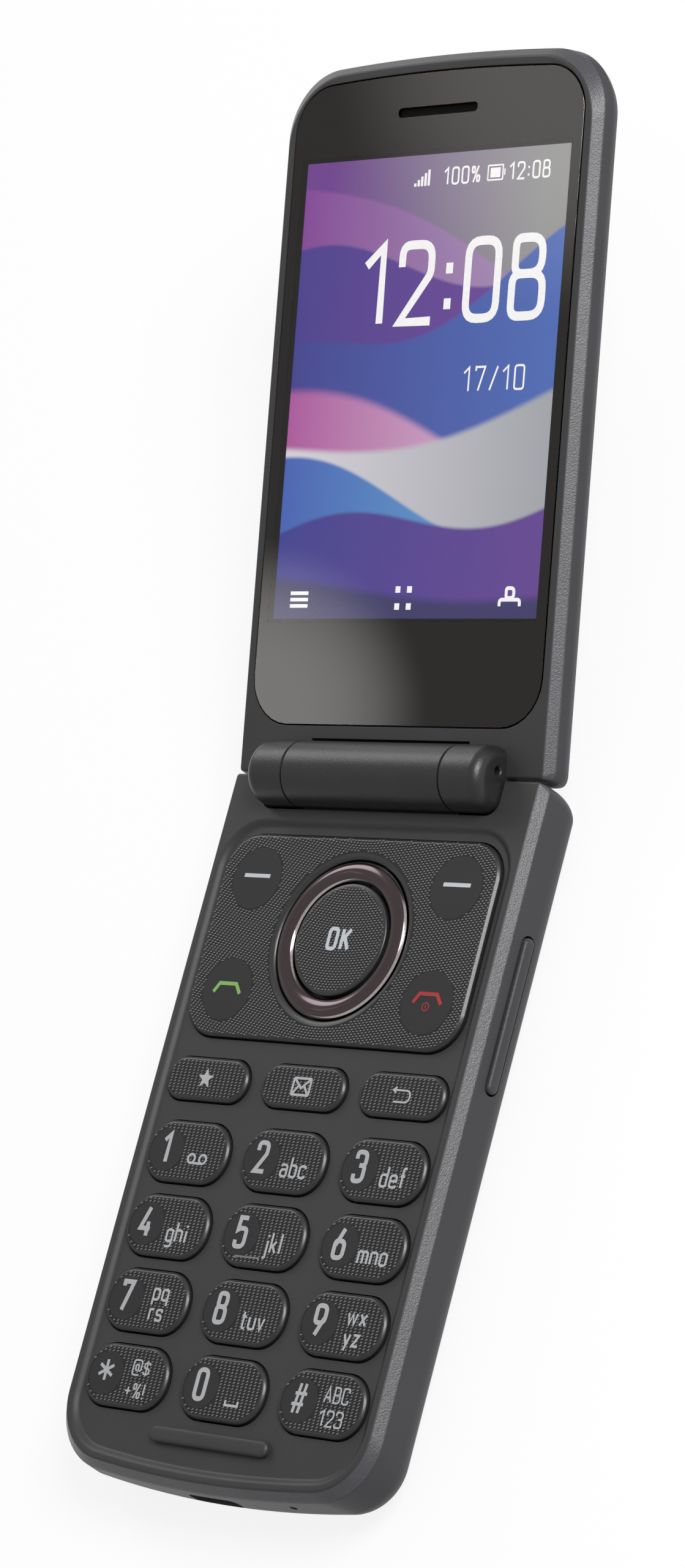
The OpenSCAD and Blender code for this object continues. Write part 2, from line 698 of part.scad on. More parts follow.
// Keys
module key(column, s, h, r) color("#3c3c3e") at(column * column_pitch, s) {
    hull() {
        layer(key_z1 - crown_h - slice_t, key_z1 - crown_h) rounded(key_w, h, r, $fn = 32);
        layer(key_z1 - slice_t, key_z1)
            rounded(key_w - 2 * crown_in, h - 2 * crown_in, r - crown_in, $fn = 32);
    }
    layer(flange_z0, key_z1 - crown_h) rounded(key_w, h, r);
    layer(flange_z0, flange_z1) rounded(key_w + 2 * flange_lip, h + 2 * flange_lip, r + flange_lip);
    translate([0, 0, stem_z0]) cylinder(r = stem_r, h = flange_z0 - stem_z0 + 0.1);
}
module digit_key(column, row) {
    key(column, digit_s + row * row_pitch, digit_h, digit_r);
}

// Nav cluster
module ok_button() color("#3a3a3c") at(0, nav_s) {
    translate([0, 0, ok_z0]) cylinder(r = ok_r, h = ok_z1 - ok_z0);
    translate([0, 0, stem_z0]) cylinder(r = stem_r, h = ok_z0 - stem_z0);
}
module nav_ring() color("#5a4a4d") at(0, nav_s) {
    ring_mid = (ring_r + ring_hole_r) / 2;
    ring_half = (ring_r - ring_hole_r) / 2;
    difference() {
        translate([0, 0, web_z0]) cylinder(r = web_r, h = web_z1 - web_z0);
        translate([0, 0, web_z0 - 1]) cylinder(r = stem_hole_r, h = 3);
    }
    rotate_extrude() {
        translate([ring_hole_r, web_z1 - 0.05])
            square([2 * ring_half, ring_z1 - ring_half / 2 - web_z1 + 0.05]);
        intersection() {
            translate([ring_mid, ring_z1 - 2 * ring_half]) circle(2 * ring_half);
            translate([ring_hole_r, ring_z1 - ring_half]) square([2 * ring_half, ring_half]);
        }
    }
}
module nav_ring_pad() color("#8f9094") at(0, nav_s) difference() {
    union() {
        translate([0, 0, pad_z0]) cylinder(r = ring_pad_r, h = pad_z1 - pad_z0);
        ridge(-ring_pad_r + 0.6, ring_pad_r - 0.6);
    }
    translate([0, 0, pad_z0 - 1]) cylinder(r = stem_hole_r, h = 3);
}
module ridge(y0, y1) {
    intersection() {
        translate([0, 0, pad_z1]) rotate([0, 0, 90]) rod(ridge_r, y0, y1);
        layer(pad_z1 - 0.05, base_t) square(reach, center = true);
    }
}
module nav_plate_pad() color("#8f9094") at(0, nav_s) {
    difference() {
        layer(pad_z0, pad_z1) rounded(nav_w - 2, nav_h - 1, nav_r);
        translate([0, 0, pad_z0 - 1]) cylinder(r = plate_pad_hole_r, h = 3);
    }
    for (i = [-1, 1]) ridge(min(i * (nav_h / 2 - 0.6), i * (plate_pad_hole_r + 0.05)),
        max(i * (nav_h / 2 - 0.6), i * (plate_pad_hole_r + 0.05)));
}
module nav_plate() color("#414143") at(0, nav_s) difference() {
    union() {
        layer(web_z0, nav_z1 - crown_h) rounded(nav_w, nav_h, nav_r);
        hull() {
            layer(nav_z1 - crown_h - slice_t, nav_z1 - crown_h) rounded(nav_w, nav_h, nav_r, $fn = 32);
            layer(nav_z1 - slice_t, nav_z1)
                rounded(nav_w - 2 * crown_in, nav_h - 2 * crown_in, nav_r - crown_in, $fn = 32);
        }
    }
    translate([0, 0, web_z0 - 1]) cylinder(r = plate_room_r, h = plate_room_z - web_z0 + 1);
    translate([0, 0, web_z0]) cylinder(r = ring_well_r, h = 5);
    translate([0, 0, nav_z1 - crown_h]) cylinder(r1 = ring_well_r, r2 = well_lip_r, h = crown_h + 0.001);
}

// Side rocker
module side_rocker() color("#3c3c3f") {
    through_side(rocker_x0 + 0.1, half_w + rocker_rise) rocker_outline(0);
    through_side(rocker_x0, rocker_x1) rocker_outline(rocker_lip);
    intersection() {
        at(rocker_x0, rocker_s) translate([0, 0, rocker_z - rocker_h / 2])
            cylinder(r = rock_pivot_r, h = rocker_h);
        at(rocker_x0 - reach / 2 + 0.05, rocker_s) layer(0, base_t) square(reach, center = true);
    }
}

// Lid shells
module lid_upper() {
    intersection() {
        lid_form(0);
        layer(-lid_part, 1) square(reach, center = true);
    }
}
module lid_knuckles() {
    both_sides() translate([0, 0, lid_drop])
        knuckle(barrel_r, mid_half + knuckle_gap, barrel_half, knuckle_round);
}
module lid_pillars(r, z0, z1) {
    both_sides() for (p = lid_screw_at) translate([p[0], p[1], z0]) cylinder(r = r, h = z1 - z0);
}
module lid_front_frame() color("#3d3d3f") on_lid() difference() {
    union() {
        difference() {
            lid_upper();
            layer(-lid_part - 1, ledge_z) lid_plan(wall, wall);
        }
        intersection() {
            lid_upper();
            translate([0, 0, lid_drop])
                rod(barrel_r + swing_gap + notch_wall, -mid_half - 1, mid_half + 1);
        }
        lid_knuckles();
        lid_pillars(boss_r + 0.4, ledge_z - 0.8, ledge_z + 0.1);
    }
    layer(-glass_t, 1) glass_plan(seat_gap);
    translate([0, (panel_v0 + panel_v1) / 2]) layer(ledge_z - 1, 0)
        square([panel_w + 2 * seat_gap, panel_v1 - panel_v0 + 2 * seat_gap], center = true);
    translate([0, ear_v]) layer(ledge_z - 1, 0) rounded(ear_l - 1.6, ear_h - 0.5, 0.4);
    lid_pillars(screw_head_r + seat_gap, -glass_t - screw_head_t, 0);
    lid_pillars(screw_r + 0.1, ledge_z - 2, 0);
    translate([0, 0, lid_drop]) {
        rod(barrel_r + swing_gap, -mid_half - knuckle_gap, mid_half + knuckle_gap);
        rod(bush_r + roll_gap, 1 - barrel_half, -mid_half);
        translate([mid_half, 0, 0]) rotate([0, 90, 0])
            translate([0, 0, (drive_l + 1) / 2])
                cube([drive_w + seat_gap, drive_w + seat_gap, drive_l + 1], center = true);
        translate([0, end_hole_v, end_hole_up]) rod(end_hole_r, mid_half, barrel_half + 1);
        translate([flex_lid_x0 - 0.2, flex_lid_v - 0.3, ledge_z - lid_drop - 0.6])
            cube([flex_lid_w + 0.4, 0.9, lid_drop - ledge_z]);
        translate([flex_lid_x0 - 0.2, flex_lid_v - 0.3, ledge_z - lid_drop - 0.6])
            cube([flex_lid_w + 0.4, barrel_r, 0.6]);
    }
}

module lid_back_cover() color("#38383a") on_lid() difference() {
    union() {
        difference() {
            intersection() {
                lid_form(0);
                layer(-lid_t - 1, -lid_part) square(reach, center = true);
            }
            lid_form(back_wall);
        }
        lid_pillars(boss_r, back_wall - lid_t - 0.1, ledge_z - 0.8);
    }
    translate([0, outer_v]) layer(-lid_t - 1, window_t - lid_t)
        rounded(outer_w + 2 * seat_gap, outer_h + 2 * seat_gap, 4);
    translate([0, outer_v]) layer(-lid_t - 1, -lid_part)
        rounded(outer_w - 2 * window_lip, outer_h - 2 * window_lip, 2);
    translate([0, lens_v, -lid_t - 1]) cylinder(r = lens_r + seat_gap, h = window_t + 1);
    translate([0, lens_v, -lid_t - 1]) cylinder(r = lens_r - 1.2, h = 3);
    lid_pillars(screw_r + stop_gap, back_wall - lid_t + 0.3, 0);
}

// What the lid holds
module display_glass() color("#17181c") on_lid() difference() {
    layer(-glass_t, 0) glass_plan(0);
    translate([0, ear_v]) layer(-glass_t - 1, 1) rounded(ear_l, ear_h, ear_h / 2);
}
module display_panel() color("#5c5bb0") on_lid() translate([0, (panel_v0 + panel_v1) / 2])
    layer(panel_z0, -glass_t) square([panel_w, panel_v1 - panel_v0], center = true);
module earpiece_mesh() color("#1b1b1c") on_lid() translate([0, ear_v])
    layer(-glass_t, -glass_t / 2) rounded(ear_l - 0.1, ear_h - 0.1, ear_h / 2 - 0.05);
module earpiece_speaker() color("#2a2b2e") on_lid() translate([0, ear_v])
    layer(ledge_z - speaker_t, ledge_z) rounded(ear_l + 1, speaker_h, 1);
module lid_board() color("#1f5a3a") on_lid() translate([0, (lid_board_v0 + lid_board_v1) / 2])
    layer(lid_board_z0, panel_z0) rounded(picture_w - 2 * lid_board_in, lid_board_v1 - lid_board_v0, 1);
module lid_magnet() color("#9a9ca0") on_lid() translate([mid_half, glass_v0 + magnet_v])
    layer(ledge_z - magnet_t, ledge_z) square([magnet_l, magnet_w], center = true);
module lid_screws() color("#7d8085") on_lid() {
    lid_pillars(screw_head_r, -glass_t - screw_head_t, -glass_t - stop_gap);
    lid_pillars(screw_r, back_wall - lid_t + 0.5, -glass_t - screw_head_t);
}
module outer_window() color("#141518") on_lid() translate([0, outer_v])
    layer(-lid_t, window_t - lid_t) rounded(outer_w, outer_h, 4);
module outer_display() color("#24262b") on_lid() translate([0, outer_v])
    layer(outer_panel_z0, lid_board_z0)
        square([outer_w - 2 * window_lip - 0.6, outer_h - 2 * window_lip - 0.6], center = true);
module camera_module() color("#222326") on_lid() translate([0, lens_v]) {
    layer(lid_board_z0 - camera_t, lid_board_z0) square([camera_w, camera_w], center = true);
    translate([0, 0, window_t - lid_t + stop_gap])
        cylinder(r = lens_r - 1.4, h = lid_t - window_t + lid_board_z0 - seat_gap);
}
module camera_lens() color("#101114") on_lid() translate([0, lens_v, -lid_t])
    cylinder(r = lens_r, h = window_t);

// Hinge
module hinge_shaft() color("#b4b6ba") hinge_open() {
    rod(shaft_r, can_x0 + can_wall + seat_gap, mid_half + knuckle_gap + 0.1);
    rod(inside_r - seat_gap, cam_x0, cam_x1);
    translate([mid_half + knuckle_gap + drive_l / 2, 0, 0])
        cube([drive_l, drive_w, drive_w], center = true);
}
module hinge_can() color("#8e9094") hinge_line() difference() {
    rod(can_r, can_x0, can_x1);
    rod(inside_r, can_x0 + can_wall, can_x1 - can_wall);
    rod(shaft_r + run_gap, can_x1 - 1, can_x1 + 1);
}
module hinge_follower() color("#a3a5a9") hinge_line() difference() {
    rod(inside_r - stop_gap, follower_x0, follower_x1);
    rod(shaft_r + run_gap, follower_x0 - 1, follower_x1 + 1);
}
// The spring is one wire on a helix, six-sided, with eight rings to a curl
echo(least_gap_between_curls = spring_pitch - 2 * wire_r);
function wire_point(i, j) =
    let (
        turn = 360 * i / 8,
        out = spring_r + wire_r * cos(360 * j / sides)
    )
    [spring_x0 + spring_pitch * i / 8 + wire_r * sin(360 * j / sides), out * cos(turn), out * sin(turn)];
module hinge_spring() color("#9a9ca1") hinge_line() polyhedron(
    points = [for (i = [0:rings], j = [0:sides - 1]) wire_point(i, j)],
    faces = concat(
        [[for (j = [0:sides - 1]) j]],
        [for (i = [0:rings - 1], j = [0:sides - 1])
            [i * sides + j, (i + 1) * sides + j, (i + 1) * sides + (j + 1) % sides]],
        [for (i = [0:rings - 1], j = [0:sides - 1])
            [i * sides + j, (i + 1) * sides + (j + 1) % sides, i * sides + (j + 1) % sides]],
        [[for (j = [sides - 1:-1:0]) rings * sides + j]]));
module hinge_bush() color("#a8aaad") hinge_open() difference() {
    rod(bush_r, -mid_half - bush_half, bush_half - mid_half);
    rod(bush_hole_r, -mid_half - bush_half - 1, bush_half - mid_half + 1);
}
module flex_base() color("#b5762f") hinge_line() {
    low = board_z1 - axis_z;
    tail_y = base_reach - hinge_room - 1.4;
    inlet_z = 0.3 - flex_roll_r;
    translate([flex_x0, tail_y, low]) cube([flex_w, flex_riser_y - tail_y, flex_t]);
    translate([flex_x0, flex_riser_y - flex_t, low]) cube([flex_w, flex_t, inlet_z - low]);
    translate([flex_x0, flex_riser_y - flex_t, inlet_z - flex_t]) cube([flex_w, -flex_riser_y, flex_t]);
    rod(flex_roll_r, -mid_half - 0.6, flex_x0 + flex_w);
}
module flex_lid() color("#b5762f") hinge_open() {
    low = ledge_z - lid_drop;
    inlet_z = -0.75;
    end_v = lid_board_v0 + 1;
    end_z = panel_z0 - lid_drop;
    rod(flex_roll_r, flex_lid_x0, -mid_half - 0.9);
    translate([flex_lid_x0, 0, inlet_z]) cube([flex_lid_w, flex_lid_v + flex_t, flex_t]);
    translate([flex_lid_x0, flex_lid_v, low - flex_t])
        cube([flex_lid_w, flex_t, inlet_z - low + 2 * flex_t]);
    translate([flex_lid_x0, flex_lid_v, low - flex_t]) cube([flex_lid_w, end_v - flex_lid_v, flex_t]);
    translate([flex_lid_x0, end_v - flex_t, end_z]) cube([flex_lid_w, flex_t, low - end_z]);
}

base_front_housing();
base_chassis();
battery_cover();
battery();
battery_contacts();
main_board();
dome_sheet();
keypad_mat();
usb_socket();
microphone();
loudspeaker();
vibration_motor();
sim_socket();
side_switches();
base_screws();
lid_bumper();
key(-1, fn_s, fn_h, fn_r);  // key_favourites
key(0, fn_s, fn_h, fn_r);  // key_messages
key(1, fn_s, fn_h, fn_r);  // key_back
digit_key(-1, 0);  // key_1
digit_key(0, 0);  // key_2
digit_key(1, 0);  // key_3
digit_key(-1, 1);  // key_4
digit_key(0, 1);  // key_5
digit_key(1, 1);  // key_6
digit_key(-1, 2);  // key_7
digit_key(0, 2);  // key_8
digit_key(1, 2);  // key_9
digit_key(-1, 3);  // key_asterisk
digit_key(0, 3);  // key_0
digit_key(1, 3);  // key_hash
ok_button();
nav_ring();
nav_ring_pad();
nav_plate();
nav_plate_pad();
side_rocker();
lid_front_frame();
lid_back_cover();
display_glass();
display_panel();
earpiece_mesh();
earpiece_speaker();
lid_board();
lid_magnet();
lid_screws();
outer_window();
outer_display();
camera_module();
camera_lens();
hinge_shaft();
hinge_can();
hinge_follower();
hinge_spring();
hinge_bush();
flex_base();
flex_lid();
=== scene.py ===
# %% [markdown]
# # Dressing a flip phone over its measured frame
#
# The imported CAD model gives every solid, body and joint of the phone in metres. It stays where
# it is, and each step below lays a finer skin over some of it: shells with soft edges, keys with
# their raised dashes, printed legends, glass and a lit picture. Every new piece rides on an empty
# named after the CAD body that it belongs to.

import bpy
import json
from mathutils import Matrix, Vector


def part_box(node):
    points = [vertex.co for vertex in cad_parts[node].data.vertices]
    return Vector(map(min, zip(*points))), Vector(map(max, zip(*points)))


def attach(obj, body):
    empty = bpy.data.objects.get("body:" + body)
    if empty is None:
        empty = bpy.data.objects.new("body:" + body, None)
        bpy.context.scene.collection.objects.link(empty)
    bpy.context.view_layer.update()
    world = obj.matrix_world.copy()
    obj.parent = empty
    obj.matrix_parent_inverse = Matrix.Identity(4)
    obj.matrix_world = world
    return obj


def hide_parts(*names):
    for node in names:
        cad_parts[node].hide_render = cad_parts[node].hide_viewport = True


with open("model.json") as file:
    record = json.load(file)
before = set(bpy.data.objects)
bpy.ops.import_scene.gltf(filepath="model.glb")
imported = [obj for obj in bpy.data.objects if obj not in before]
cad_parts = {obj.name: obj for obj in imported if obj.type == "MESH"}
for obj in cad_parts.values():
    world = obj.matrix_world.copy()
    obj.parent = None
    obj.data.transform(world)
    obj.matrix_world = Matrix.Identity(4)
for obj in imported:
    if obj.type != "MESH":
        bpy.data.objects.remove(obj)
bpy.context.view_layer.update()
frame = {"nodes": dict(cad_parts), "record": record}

# %% [markdown]
# ## Camera
#
# The photograph was taken with a long lens from the right, a little above the keypad. The
# display's corners and the middles of the keys fix that camera to about a pixel, so its place,
# its two directions and its lens are typed here as they were solved.

# %% Camera and colour view
import json
import math

import bmesh
import bpy
from mathutils import Matrix, Vector

SENSOR_MM, PHOTO_HEIGHT, FOCAL_PIXELS = 36, 2560, 8222
scene = bpy.context.scene
scene.view_settings.view_transform = "Standard"
eye = Vector((0.41165, -0.10707, 0.44147))
ahead = Vector((-0.6747, 0.2438, -0.6967)).normalized()
right = ahead.cross(Vector((-0.0220, 0.9368, 0.3492))).normalized()
upward = right.cross(ahead)
lens_data = bpy.data.cameras.new("long_lens")
lens_data.sensor_fit = "VERTICAL"
lens_data.sensor_height = SENSOR_MM
lens_data.lens = SENSOR_MM * FOCAL_PIXELS / PHOTO_HEIGHT
lens_data.clip_start = 0.01
camera = bpy.data.objects.new("photo_camera", lens_data)
camera.matrix_world = Matrix.Translation(eye) @ Matrix((right, upward, -ahead)).transposed().to_4x4()
scene.collection.objects.link(camera)
scene.camera = camera
print("lens, mm:", round(lens_data.lens, 2))

# %% [markdown]
# ## Finishes
#
# A finish is a small tree of nodes. One helper adds a node, sets it and links it, and one turns
# an sRGB hex colour into the linear numbers that the shader wants. Patterns read Object
# coordinates, which are metres here, so a grain of 0.35 mm is a noise of scale 1000 / 0.35.

# %% Helpers for finishes
MM = 0.001
# Short names for the kinds of node that come up most
MATH, VECTORS, NOISE = "ShaderNodeMath", "ShaderNodeVectorMath", "ShaderNodeTexNoise"
MIX, RANGE = "ShaderNodeMix", "ShaderNodeMapRange"


def linear(code):
    """sRGB hex, such as 3a3a3c, to linear RGBA."""
    parts = [int(code[i:i + 2], 16) / 255 for i in (0, 2, 4)]
    return (*[c / 12.92 if c <= 0.04045 else ((c + 0.055) / 1.055) ** 2.4 for c in parts], 1.0)


def add(tree, kind, inputs=None, **settings):
    """Adds a node. An input takes a value, another node's output, or a node, for its first output."""
    made = tree.nodes.new(kind)
    for name, value in settings.items():
        setattr(made, name, value)
    for key, value in (inputs or {}).items():
        if isinstance(value, bpy.types.Node):
            value = value.outputs[0]
        if isinstance(value, bpy.types.NodeSocket):
            tree.links.new(value, made.inputs[key])
        else:
            made.inputs[key].default_value = value
    return made


def start(name, **shader):
    """A new finish: its material, its tree, its shader and its Object coordinates."""
    made = bpy.data.materials.new(name)
    made.use_nodes = True
    tree = made.node_tree
    tree.nodes.clear()
    surface = add(tree, "ShaderNodeBsdfPrincipled", {k.replace("_", " "): v for k, v in shader.items()})
    add(tree, "ShaderNodeOutputMaterial", {"Surface": surface})
    place = add(tree, "ShaderNodeTexCoord").outputs["Object"]
    return made, tree, surface, place


# %% Two kinds of finish
DRIFT_MM, GLOSS_DRIFT, COAT_GLOSS = 9, 0.08, 0.15


def moulded(name, dark, light, grain_mm, depth_mm, roughness, specular=0.5, coat=0.0):
    """Moulded plastic: the mould's grain as bump, with its colour and gloss drifting a little."""
    made, tree, surface, place = start(name, Specular_IOR_Level=specular, Coat_Weight=coat,
                                       Coat_Roughness=COAT_GLOSS)
    drift = add(tree, NOISE, {"Vector": place, "Scale": 1000 / DRIFT_MM, "Detail": 3.0})
    grain = add(tree, NOISE, {"Vector": place, "Scale": 1000 / grain_mm, "Detail": 2.0, "Roughness": 0.6})
    both = add(tree, MATH, {0: drift, 1: grain}, operation="MULTIPLY")
    tint = add(tree, MIX, {"Factor": both, 6: linear(dark), 7: linear(light)}, data_type="RGBA")
    gloss = add(tree, RANGE, {"Value": grain, "To Min": roughness - GLOSS_DRIFT,
                              "To Max": roughness + GLOSS_DRIFT})
    bump = add(tree, "ShaderNodeBump", {"Height": grain, "Distance": depth_mm * MM})
    tree.links.new(tint.outputs[2], surface.inputs["Base Color"])
    tree.links.new(gloss.outputs[0], surface.inputs["Roughness"])
    tree.links.new(bump.outputs[0], surface.inputs["Normal"])
    return made


def speckled(name, speck_mm, dark, light, smooth, rough, detail=2.0, **shader):
    """A smooth finish: one noise moves both its colour and its gloss."""
    made, tree, surface, place = start(name, **shader)
    specks = add(tree, NOISE, {"Vector": place, "Scale": 1000 / speck_mm, "Detail": detail})
    tint = add(tree, MIX, {"Factor": specks, 6: linear(dark), 7: linear(light)}, data_type="RGBA")
    gloss = add(tree, RANGE, {"Value": specks, "To Min": smooth, "To Max": rough})
    tree.links.new(tint.outputs[2], surface.inputs["Base Color"])
    tree.links.new(gloss.outputs[0], surface.inputs["Roughness"])
    return made


print("kinds of finish:", moulded.__name__, speckled.__name__)

# %% Finishes of the shells, keys and legends
# Spark-eroded ABS on the chamfers: a coarse even grain, in a colour paler than the face's that is partly
# the finish's own and partly painted highlight for the light that the chamfers catch
grained_abs_painted_highlight = moulded("spark_eroded_abs", "3d3d41", "65656b", 0.2, 0.05, 0.34)
# The flanks below it come from a finer part of the mould
flank_abs = moulded("fine_grained_abs", "2f2f33", "424247", 0.22, 0.02, 0.5)
# Satin ABS: the front faces come from a finer mould and look almost plain
satin_abs = moulded("satin_abs", "2a2a2b", "3a3a3b", 0.16, 0.006, 0.5)
# Barrel of the hinge, the same plastic with a softer grain
barrel_abs = moulded("soft_grain_abs", "1f1f21", "2f2f31", 0.18, 0.025, 0.35)
# Clear-coated polycarbonate of the key caps, glossier than the shells
key_plastic = moulded("coated_polycarbonate", "212123", "2d2d30", 0.2, 0.003, 0.38, 0.5, 0.15)
# Crests of the dashes: the caps' own plastic, painted paler as a highlight for the light that they catch
dash_painted_highlight = moulded("raised_polycarbonate", "6c6c6e", "868688", 0.2, 0.002, 0.34)
# Floor of the embossing between the dashes: the caps' own plastic, painted dark as the shade that light
# hardly reaches
valley_painted_shade = moulded("embossed_polycarbonate", "19191b", "222225", 0.2, 0.003, 0.55, 0.3)
# Smooth round fields under the digits: the same plastic, left satin so that a lamp is no mirror spot
field_plastic = moulded("satin_polycarbonate", "242426", "303033", 0.2, 0.003, 0.52, 0.3)
# Pad-printed inks: a matte film with a faint speckle
grey_ink = moulded("grey_print_ink", "a2a4a6", "bcbec0", 0.12, 0.002, 0.6, 0.3)
white_ink = moulded("white_print_ink", "b4b9bd", "cfd4d8", 0.12, 0.002, 0.55, 0.3)
green_ink = moulded("green_print_ink", "74a452", "95c076", 0.12, 0.002, 0.55, 0.3)
red_ink = moulded("red_print_ink", "982c2e", "b84446", 0.12, 0.002, 0.55, 0.3)
print("plastics and inks:", len(bpy.data.materials))

# %% [markdown]
# The ring is aluminium, turned, blasted to a satin and anodised to a warm bronze, and a last
# cut with a diamond tool leaves its two edges bright. Turning leaves fine circles, so the
# roughness follows the distance from the ring's own middle.

# %% Finishes of the ring and the glass
TURNING_MM, BLAST_MM, SMEAR_MM = 0.12, 0.15, 14
ring_low, ring_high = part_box("nav_ring")
ring_middle = (ring_low + ring_high) / 2
bronze, tree, surface, place = start("anodised_aluminium_bronze", Metallic=1.0)
offset = add(tree, VECTORS, {0: place, 1: ring_middle * Vector((1, 1, 0))}, operation="SUBTRACT")
flat = add(tree, VECTORS, {0: offset, 1: (1, 1, 0)}, operation="MULTIPLY")
radius = add(tree, VECTORS, {0: flat}, operation="LENGTH").outputs["Value"]
turning = add(tree, NOISE, {"W": radius, "Scale": 1000 / TURNING_MM}, noise_dimensions="1D")
blast = add(tree, NOISE, {"Vector": place, "Scale": 1000 / BLAST_MM})
mixed = add(tree, MATH, {0: turning, 1: blast}, operation="MULTIPLY")
tint = add(tree, MIX, {"Factor": mixed, 6: linear("544b4e"), 7: linear("6e6367")}, data_type="RGBA")
satin = add(tree, RANGE, {"Value": mixed, "To Min": 0.12, "To Max": 0.26})
tree.links.new(tint.outputs[2], surface.inputs["Base Color"])
tree.links.new(satin.outputs[0], surface.inputs["Roughness"])
# The diamond's cut leaves bare metal, almost a mirror
bright_cut = speckled("diamond_cut_aluminium", 0.3, "b9aeb1", "e2dadc", 0.08, 0.18, Metallic=1.0)
# Hardened cover glass: clear, with the faint smears that a thumb leaves in its gloss
cover_glass, tree, surface, place = start("hardened_glass", Transmission_Weight=1.0, IOR=1.5,
                                          Base_Color=linear("f2f0ee"))
smear = add(tree, NOISE, {"Vector": place, "Scale": 1000 / SMEAR_MM, "Detail": 4.0})
smear_gloss = add(tree, RANGE, {"Value": smear, "To Min": 0.0, "To Max": 0.008})
tree.links.new(smear_gloss.outputs[0], surface.inputs["Roughness"])
# The border of the front glass, backed by black ink: all that shows is the mirror on top
black_glass = speckled("black_backed_glass", SMEAR_MM, "0b0a0a", "100f0e", 0.0, 0.008, 4.0, IOR=1.5)
# Smoked outer glass, dark all through, over the small outer display
smoked_glass = speckled("smoked_glass", SMEAR_MM, "08080a", "0e0e11", 0.05, 0.08, 4.0, IOR=1.5)
# Ink printed on the back of the glass round the picture: a flat black that mirrors nothing
mask_ink = moulded("black_screen_ink", "0c0b0b", "100f0f", 2.0, 0.0, 0.9, 0.0)
print("finishes:", len(bpy.data.materials))

# %% [markdown]
# The wallpaper is a design of its own: slow ribbons that cross the screen, in violet, indigo,
# blue, rose and grey. Each ribbon is one wavy edge on the sheet's UV map, and colour changes
# where the height passes that edge.

# %% Lit picture
# A display gives its own light and returns almost none
LIT = {"Base_Color": (0, 0, 0, 1), "Roughness": 0.3, "Emission_Strength": 1.0}
CELL_MM = 0.5
picture_light, tree, surface, place = start("lit_picture", **LIT)
across = add(tree, "ShaderNodeSeparateXYZ", {0: add(tree, "ShaderNodeTexCoord").outputs["UV"]}).outputs
top_fade = add(tree, RANGE, {"Value": across["X"], "From Min": 0.1, "From Max": 0.9})
colour = add(tree, MIX, {"Factor": top_fade, 6: linear("64278a"), 7: linear("8e8f90")},
             data_type="RGBA").outputs[2]
# Each ribbon: height of its edge, rise across, swing, waves, shift, softness, colours left and right
RIBBONS = [(0.93, -0.30, 0.07, 3.0, 0.2, 0.006, "7c2f93", "a58fb6"),
           (0.72, 0.10, 0.09, 4.2, 1.4, 0.005, "33218a", "6a3494"),
           (0.56, 0.22, 0.06, 5.0, 2.2, 0.006, "27288c", "3b62b4"),
           (0.47, -0.16, 0.05, 4.0, 0.6, 0.014, "a84a9a", "d9b8d6"),
           (0.36, 0.12, 0.05, 3.4, 2.9, 0.01, "d6d3dc", "9ea2aa"),
           (0.30, -0.10, 0.06, 4.6, 1.1, 0.006, "3056b2", "58a6d4"),
           (0.17, 0.08, 0.04, 5.4, 0.4, 0.006, "23278c", "5a2f8e"),
           (0.07, -0.02, 0.02, 4.0, 2.0, 0.014, "15165a", "201b60")]
for height, rise, swing, waves, shift, soft, left_hex, right_hex in RIBBONS:
    angle = add(tree, MATH, {0: across["X"], 1: waves, 2: shift}, operation="MULTIPLY_ADD")
    wave = add(tree, MATH, {0: angle}, operation="SINE")
    slope = add(tree, MATH, {0: across["X"], 1: rise, 2: height}, operation="MULTIPLY_ADD")
    edge = add(tree, MATH, {0: wave, 1: swing, 2: slope}, operation="MULTIPLY_ADD")
    gap = add(tree, MATH, {0: edge, 1: across["Y"]}, operation="SUBTRACT")
    inside = add(tree, RANGE, {"Value": gap, "From Min": -soft, "From Max": soft},
                 interpolation_type="SMOOTHSTEP")
    own = add(tree, MIX, {"Factor": across["X"], 6: linear(left_hex), 7: linear(right_hex)},
              data_type="RGBA").outputs[2]
    colour = add(tree, MIX, {"Factor": inside, 6: colour, 7: own}, data_type="RGBA").outputs[2]
tree.links.new(colour, surface.inputs["Emission Color"])
# Lit white of the signs, with the faint unevenness of the display's cells
white_light, tree, surface, place = start("lit_white", **LIT)
cells = add(tree, NOISE, {"Vector": place, "Scale": 1000 / CELL_MM})
glow = add(tree, MIX, {"Factor": cells, 6: linear("f2f2f4"), 7: linear("ffffff")}, data_type="RGBA")
tree.links.new(glow.outputs[2], surface.inputs["Emission Color"])
print("ribbons:", len(RIBBONS))

# %% [markdown]
# ## Building blocks
#
# Nearly every piece is a stack of closed outlines joined by quads, a loft. The outlines are those
# that the CAD uses: a straight end, two straight sides and an arched far end with large corners.
# A polyline with rounded corners gives the profiles and, later, the strokes of the legends.

# %% Outlines
NEAR_STEPS, FAR_STEPS, ARCH_STEPS, BEND_STEPS = 7, 16, 18, 5
LEAST_R, LEAST_CORNER, LEAST_FLAT, NEARLY_STRAIGHT = 0.4, 0.05, 0.01, 3.1


def arc(cx, cy, r, a0, a1, steps):
    turns = [math.radians(a0 + (a1 - a0) * i / steps) for i in range(steps + 1)]
    return [(cx + r * math.cos(t), cy + r * math.sin(t)) for t in turns]


def circle(r, steps):
    return arc(0, 0, r, 0, 360, steps)[:-1]


def shifted(points, x, y):
    return [(px + x, py + y) for px, py in points]


